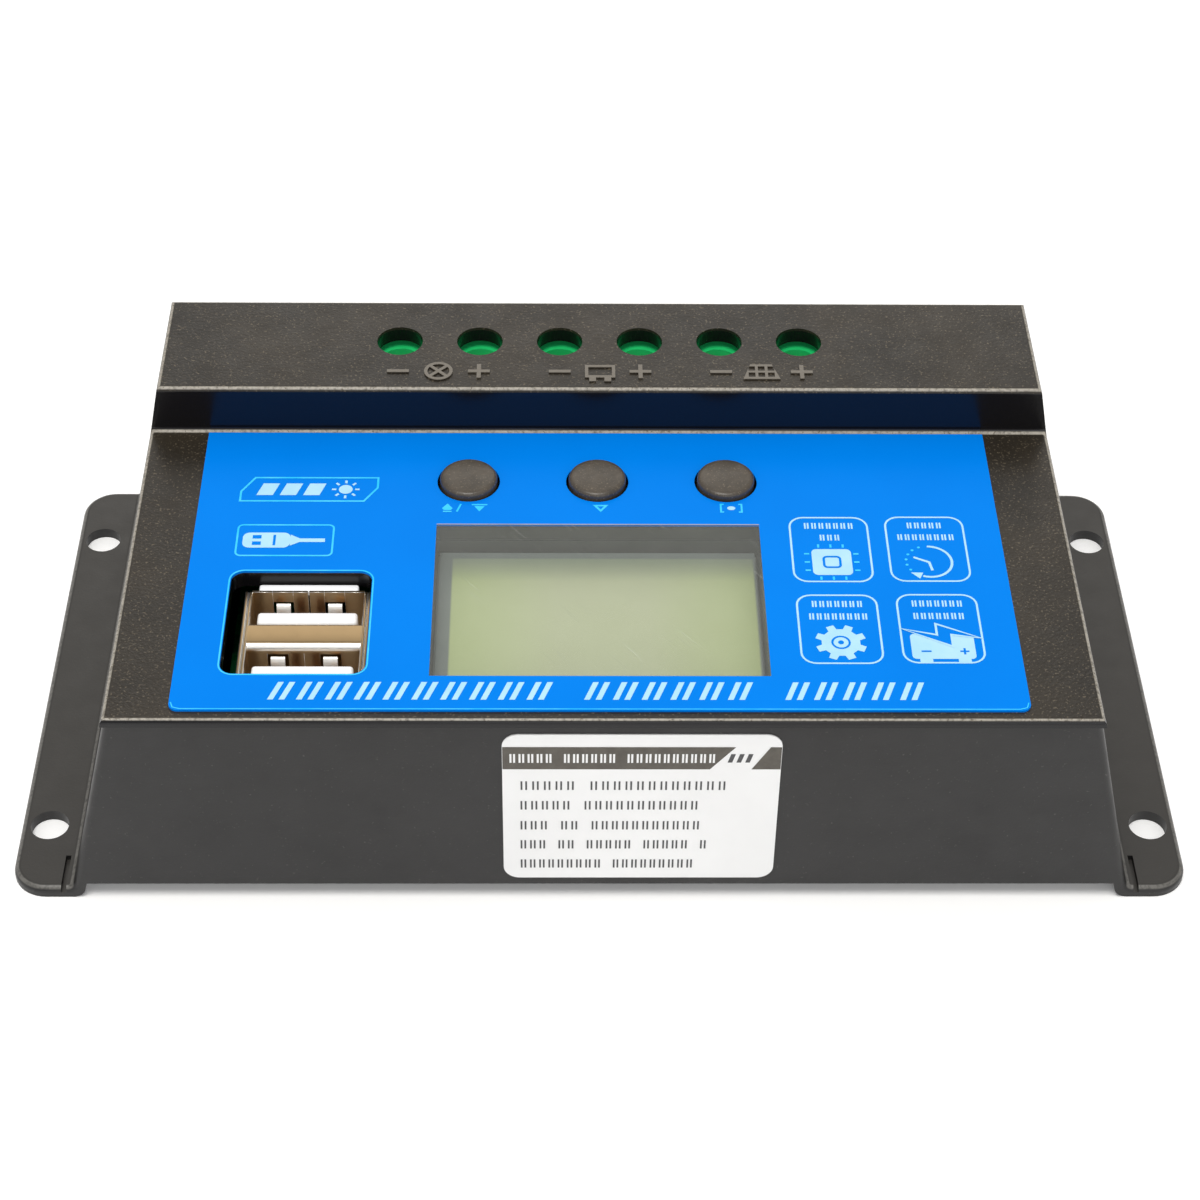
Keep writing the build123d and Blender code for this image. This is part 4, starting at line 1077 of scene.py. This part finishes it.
@dataclass
class Buttons:
    """Three domed caps, turned from the same profile, whose shapes follow their CAD boxes."""

    sides: tuple[str, ...] = ("left", "middle", "right")
    flange: float = 1.0
    flange_height: float = 0.8
    rim_round: float = 0.55
    dome: float = 0.42
    edge: float = 0.15

    def profile(self, low: float, high: float, outer: float) -> list[Point]:
        """Return the cap's half section from its underside to the top of its dome.

        Args:
            low: Height of the underside.
            high: Height of the dome's top.
            outer: Radius of the flange.

        Returns:
            Points of radius and height in millimetres.
        """
        radius, top, edge = outer - self.flange, low + self.flange_height, self.edge
        points = [(0.0, low), (outer - edge, low), (outer, low + edge), (outer, top - edge),
                  (outer - edge, top), (radius, top)]
        r, shoulder = self.rim_round, high - self.dome
        for step in range(0, 73, 12):
            a = math.radians(step)
            points.append((radius - r + r * math.cos(a), shoulder - 0.25 + 0.9 * r * math.sin(a)))
        inner, start = points[-1]
        for step in range(1, 11):
            share = step / 10
            points.append((inner * (1 - share), start + (high - start) * (1 - (1 - share) ** 2)))
        return points

    def build(self) -> None:
        """Turn each cap about its own axis and put it on its body."""
        for side in self.sides:
            low, high = (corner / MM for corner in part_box("button_" + side))
            middle = (low + high) / 2
            bm = bmesh.new()
            lathe(bm, self.profile(low.z, high.z, (high.x - low.x) / 2), (middle.x, middle.y), 72)
            add_piece("cap_" + side, bm, BUTTON_ABS, side + "_button", ["button_" + side])


@dataclass
class UsbSocket:
    """Inside of the double socket: insulator tongues, contact springs and wall springs."""

    centre_x: float = -33.0
    rear: float = -12.7
    top: float = 27.0
    board_top: float = 10.5
    side_wall: float = 0.85
    ply_gap: float = 0.03
    skin: float = 0.3
    divider: tuple[float, float] = (-18.1, -21.65)
    divider_lip: float = 0.7
    window_low: float = 23.4
    window_width: float = 2.3
    window_height: float = 2.1
    port_rears: tuple[float, float] = (-13.0, -21.65)
    port_floor: float = 14.6
    slab_foot: float = 26.1
    tongue_width: float = 11.2
    tongue_thickness: float = 1.9
    tongue_offset: float = 2.1
    spring_offset: float = 2.9
    spring_width: float = 1.6
    strip_pitch: float = 2.3

    def build(self) -> None:
        """Build the shell, the insulator, its gilt contacts and the bent wall springs."""
        self.shell()
        self.insulator()
        self.contacts()
        self.springs()

    def window_wall(self, bm: bmesh.types.BMesh, rear: float, front: float, high: float,
                    reach: float, seam: float = 0.0) -> None:
        """Build one upright wall of the shell round its two spring windows.

        Args:
            bm: The bmesh that gets the wall.
            rear: The wall's rear face.
            front: The wall's front face.
            high: The wall's top.
            reach: Half of the wall's width.
            seam: Width of the butt joint in the middle, or 0 for none.
        """
        low, sill, head = self.board_top, self.window_low, self.window_low + self.window_height
        inner = self.spring_offset - self.window_width / 2
        outer = self.spring_offset + self.window_width / 2
        for side in (-1, 1):
            spans = ((seam / 2, inner, low, high), (inner, outer, low, sill), (inner, outer, head, high),
                     (outer, reach, low, high))
            for near, far, bottom, top in spans:
                xs = sorted((self.centre_x + side * near, self.centre_x + side * far))
                soft_box(bm, (xs[0], front, bottom), (xs[1], rear, top), 0.02, 1)

    def shell(self) -> None:
        """Build the folded shell: two-ply side walls, walls with spring windows and the divider."""
        low, high = (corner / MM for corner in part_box("usb_shell"))
        ply, leaf, base = (self.side_wall - self.ply_gap) / 2, self.skin, self.board_top
        bm = bmesh.new()
        for outer, inward in ((low.x, 1), (high.x, -1)):
            for start in (0.0, ply + self.ply_gap):
                xs = sorted((outer + inward * start, outer + inward * (start + ply)))
                soft_box(bm, (xs[0], low.y + 0.1, base), (xs[1], high.y - 0.1, high.z), 0.17, 4)
        reach = (high.x - low.x) / 2 - self.side_wall + 0.05
        self.window_wall(bm, high.y, high.y - leaf, high.z, reach, 0.14)
        soft_box(bm, (self.centre_x - reach, low.y, base), (self.centre_x + reach, low.y + leaf, high.z),
                 0.1, 3)
        far, near = self.divider
        self.window_wall(bm, near + leaf + 0.1, near + 0.1, high.z - 0.6, reach)
        soft_box(bm, (self.centre_x - reach, far - leaf, base), (self.centre_x + reach, far, high.z - 0.5),
                 0.02, 1)
        lip, top = self.divider_lip, high.z - leaf / 2 - 0.02
        bend = [(near + lip - lip * math.sin(math.radians(a)), top - lip + lip * math.cos(math.radians(a)))
                for a in range(0, 91, 10)]
        path = [(far - 0.05, top - 0.5), (far - 0.08, top - 0.2), (far - 0.25, top - 0.04), (far - 0.45, top),
                *bend, (near, top - lip - 0.25)]
        strip(bm, path, leaf, self.centre_x, 2 * (reach + 0.28))
        add_piece("socket_shell", bm, NICKEL_PLATE, "controller", ["usb_shell"])

    def insulator(self) -> None:
        """Build the white block with its two rounded tongues and the slab behind the shell."""
        low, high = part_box("usb_insulator")
        low, high = low / MM, high / MM
        half = self.tongue_width / 2
        bm = bmesh.new()
        soft_box(bm, (low.x, low.y, low.z), (high.x, self.rear - 0.3, self.port_floor), 0.1, 2)
        for rear in self.port_rears:
            far = rear - self.tongue_offset
            soft_box(bm, (self.centre_x - half, far - self.tongue_thickness, self.port_floor - 0.2),
                     (self.centre_x + half, far, self.top - 1.0), 0.42, 4)
        soft_box(bm, (self.centre_x - half, self.rear, self.slab_foot),
                 (self.centre_x + half, high.y, high.z), 0.28, 3)
        soft_box(bm, (self.centre_x - half, self.rear + 1.1, low.z),
                 (self.centre_x - half + 1.0, high.y, self.slab_foot + 0.2), 0.1, 2)
        soft_box(bm, (self.centre_x - half, self.rear - 0.35, low.z),
                 (self.centre_x + half, self.rear + 0.8, low.z + 2.0), 0.02, 1)
        add_piece("socket_insulator", bm, WHITE_NYLON, "controller", ["usb_insulator"])

    def contacts(self) -> None:
        """Build four bowed contact springs on the rear face of each tongue."""
        bm = bmesh.new()
        for rear in self.port_rears:
            face = rear - self.tongue_offset
            path = [(face + 0.1, 16.6), (face + 0.12, 18.5), (face + 0.2, 20.5), (face + 0.42, 22.4),
                    (face + 0.52, 23.3), (face + 0.4, 24.1), (face + 0.14, 24.6)]
            for index in range(4):
                strip(bm, path, 0.16, self.centre_x + (index - 1.5) * self.strip_pitch, 1.0)
        add_piece("socket_contacts", bm, GOLD_FLASH, "controller", ["usb_contacts"])

    def springs(self) -> None:
        """Build the springs that lean out of the wall windows and grip a plug."""
        bm = bmesh.new()
        for rear in self.port_rears:
            wall = rear + 0.15
            path = [(wall, 21.5), (wall - 0.1, 22.6), (wall - 0.35, 23.3), (wall - 0.5, 23.8),
                    (wall - 0.55, 24.3), (wall - 0.48, 24.75), (wall - 0.3, 25.05), (wall - 0.05, 25.15)]
            for side in (-1, 1):
                strip(bm, path, 0.2, self.centre_x + side * self.spring_offset, self.spring_width)
        bmesh.ops.bevel(bm, geom=list(bm.edges), offset=0.03 * MM, segments=1, affect="EDGES")
        add_piece("socket_wall_springs", bm, BRIGHT_NICKEL, "controller")


@dataclass
class Terminals:
    """The six clamps: screws with their threads and the square cages that rise."""

    pole_xs: tuple[float, ...] = (-24.0, -14.4, -4.8, 4.8, 14.4, 24.0)
    axis_y: float = 23.5
    head_radius: float = 2.3
    core_radius: float = 1.42
    thread_radius: float = 1.75
    pitch: float = 0.6
    slot_width: float = 0.8
    slot_depth: float = 0.9

    def screw(self, x: float, low: float, seat: float, high: float) -> bmesh.types.BMesh:
        """Build one screw: domed head with a cross recess, neck and helical thread.

        Args:
            x: The screw's axis along X.
            low: Tip of the shank.
            seat: Underside of the head.
            high: Top of the head.

        Returns:
            The screw's bmesh.
        """
        bm = bmesh.new()
        steps, lines = 36, 10
        rows = int((seat - 0.4 - low) / self.pitch * lines)
        rings = []
        for row in range(rows + 1):
            z = low + row * self.pitch / lines
            ring = []
            for step in range(steps):
                phase = (z / self.pitch - step / steps) % 1.0
                crest = 1 - abs(2 * phase - 1)
                taper = min(1.0, (z - low) / 0.6)
                radius = self.core_radius + (self.thread_radius - self.core_radius) * crest * taper
                a = 2 * math.pi * step / steps
                ring.append(bm.verts.new(((x + radius * math.cos(a)) * MM,
                                          (self.axis_y + radius * math.sin(a)) * MM, z * MM)))
            rings.append(ring)
        for first, second in zip(rings, rings[1:]):
            for i in range(steps):
                bm.faces.new((first[i], first[(i + 1) % steps], second[(i + 1) % steps], second[i]))
        bm.faces.new(rings[0])
        top_z = rings[-1][0].co.z / MM
        r = self.head_radius
        lathe(bm, [(0.0, top_z), (self.core_radius, top_z), (self.core_radius, seat), (r - 0.12, seat),
                   (r, seat + 0.12), (r, high - 0.55), (r - 0.1, high - 0.3), (r - 0.35, high - 0.1),
                   (r - 0.8, high - 0.02), (0.0, high)], (x, self.axis_y), 48)
        return bm

    def cut_recess(self, piece: bpy.types.Object, x: float, high: float) -> None:
        """Cut the cross recess into a finished screw."""
        cutter_bm = bmesh.new()
        reach = 2 * self.thread_radius
        for width, depth in ((reach, self.slot_width), (self.slot_width, reach)):
            matrix = (Matrix.Translation(Vector((x, self.axis_y, high - self.slot_depth / 2 + 0.25)) * MM)
                      @ Matrix.Diagonal((width * MM, depth * MM, (self.slot_depth + 0.5) * MM, 1)))
            bmesh.ops.create_cube(cutter_bm, size=1.0, matrix=matrix)
        mesh = bpy.data.meshes.new("recess_cutter")
        cutter_bm.to_mesh(mesh)
        cutter_bm.free()
        cutter = bpy.data.objects.new("recess_cutter", mesh)
        bpy.context.scene.collection.objects.link(cutter)
        cut = piece.modifiers.new("recess", "BOOLEAN")
        cut.operation = "DIFFERENCE"
        cut.solver = "EXACT"
        cut.use_self = True
        cut.object = cutter
        bpy.context.view_layer.update()
        evaluated = piece.evaluated_get(bpy.context.evaluated_depsgraph_get())
        done = bpy.data.meshes.new_from_object(evaluated)
        piece.modifiers.clear()
        piece.data = done
        bpy.data.objects.remove(cutter)

    def build(self) -> None:
        """Build the six screws and cages, each on its own body."""
        for number, x in enumerate(self.pole_xs, start=1):
            low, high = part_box(f"terminal_screw_{number}")
            bm = self.screw(x, low.z / MM, 27.35, high.z / MM)
            piece = add_piece(f"clamp_screw_{number}", bm, ZINC_PLATE, f"screw_{number}",
                              [f"terminal_screw_{number}"])
            self.cut_recess(piece, x, high.z / MM)
            softened(f"clamp_cage_{number}", ZINC_PLATE, f"cage_{number}", 0.22, 3)


@dataclass
class Housing:
    """The folded chassis, the moulded cover and the pieces inside that keep their CAD mesh."""

    def build(self) -> None:
        """Dress every CAD node that keeps its own mesh."""
        for node, plating in Plating.__members__.items():
            if not frame["nodes"][node].hide_render:
                dress_node(node, plating.value)


@dataclass
class Studio:
    """Plain floor, soft lights and the camera."""

    sky: float = 0.56
    lamps: tuple[tuple[str, tuple[float, float, float], float, float, str], ...] = (
        ("overhead", (-0.08, -0.24, 0.82), 0.4, 4.5, "#FFFDF9"),
        ("front", (0.2, -0.9, 0.35), 0.6, 1.2, "#FFFFFF"),
        ("rear", (0.0, 0.85, 0.55), 0.6, 1.5, "#FFFAF2"),
    )
    lens: float = 82.24
    place: tuple[float, float, float] = (-5.12, -241.73, 234.12)
    yaw: float = 1.225
    down: float = 42.305
    roll: float = 0.908

    def camera(self) -> None:
        """Make the camera and point it."""
        data = bpy.data.cameras.new("camera")
        data.lens = self.lens
        data.sensor_width = 36.0
        data.clip_start = 0.01
        data.clip_end = 50.0
        camera = bpy.data.objects.new("camera", data)
        yaw, down, roll = (math.radians(v) for v in (self.yaw, self.down, self.roll))
        ahead = Vector((math.sin(yaw) * math.cos(down), math.cos(yaw) * math.cos(down), -math.sin(down)))
        level_right = Vector((math.cos(yaw), -math.sin(yaw), 0.0))
        level_up = level_right.cross(ahead)
        right = math.cos(roll) * level_right + math.sin(roll) * level_up
        up = -math.sin(roll) * level_right + math.cos(roll) * level_up
        matrix = Matrix((right, up, -ahead)).transposed().to_4x4()
        matrix.translation = Vector(self.place) * MM
        camera.matrix_world = matrix
        bpy.context.scene.collection.objects.link(camera)
        bpy.context.scene.camera = camera

    def floor(self) -> None:
        """Lay a large pale sheet under the part."""
        bm = bmesh.new()
        bmesh.ops.create_grid(bm, x_segments=8, y_segments=8, size=4.0)
        mesh = bpy.data.meshes.new("floor")
        bm.to_mesh(mesh)
        bm.free()
        mesh.materials.append(FLOOR_PAPER.material())
        sheet = bpy.data.objects.new("floor", mesh)
        sheet.location.z = -0.05 * MM
        bpy.context.scene.collection.objects.link(sheet)

    def soft_box_light(self, name: str, place: Sequence[float], size: float, power: float,
                       colour: str) -> None:
        """Hang one square soft light that faces the part."""
        data = bpy.data.lights.new(name, "AREA")
        data.size = size
        data.energy = power
        data.color = linear(colour)[:3]
        lamp = bpy.data.objects.new(name, data)
        lamp.location = Vector(place)
        aim = Vector((0.0, 0.0, 0.02)) - lamp.location
        lamp.rotation_euler = aim.to_track_quat("-Z", "Y").to_euler()
        bpy.context.scene.collection.objects.link(lamp)

    def build(self) -> None:
        """Set up the whole studio."""
        self.floor()
        self.camera()
        for name, place, size, power, colour in self.lamps:
            self.soft_box_light(name, place, size, power, colour)
        world = bpy.data.worlds.new("studio")
        world.use_nodes = True
        world.node_tree.nodes.clear()
        sky = add_node(world.node_tree, "Background", {"Color": "#FFFFFF", "Strength": self.sky})
        add_node(world.node_tree, "OutputWorld", {"Surface": sky.outputs[0]})
        bpy.context.scene.world = world
        bpy.context.scene.view_settings.view_transform = "Standard"


def main() -> None:
    """Build every sub-assembly in order."""
    logging.basicConfig(level=logging.INFO, format="%(name)s: %(message)s")
    Studio().build()
    Display().build()
    Buttons().build()
    UsbSocket().build()
    Terminals().build()
    Housing().build()
    FaceArtwork().build()
    LabelArtwork().build()


if __name__ == "__main__":
    main()
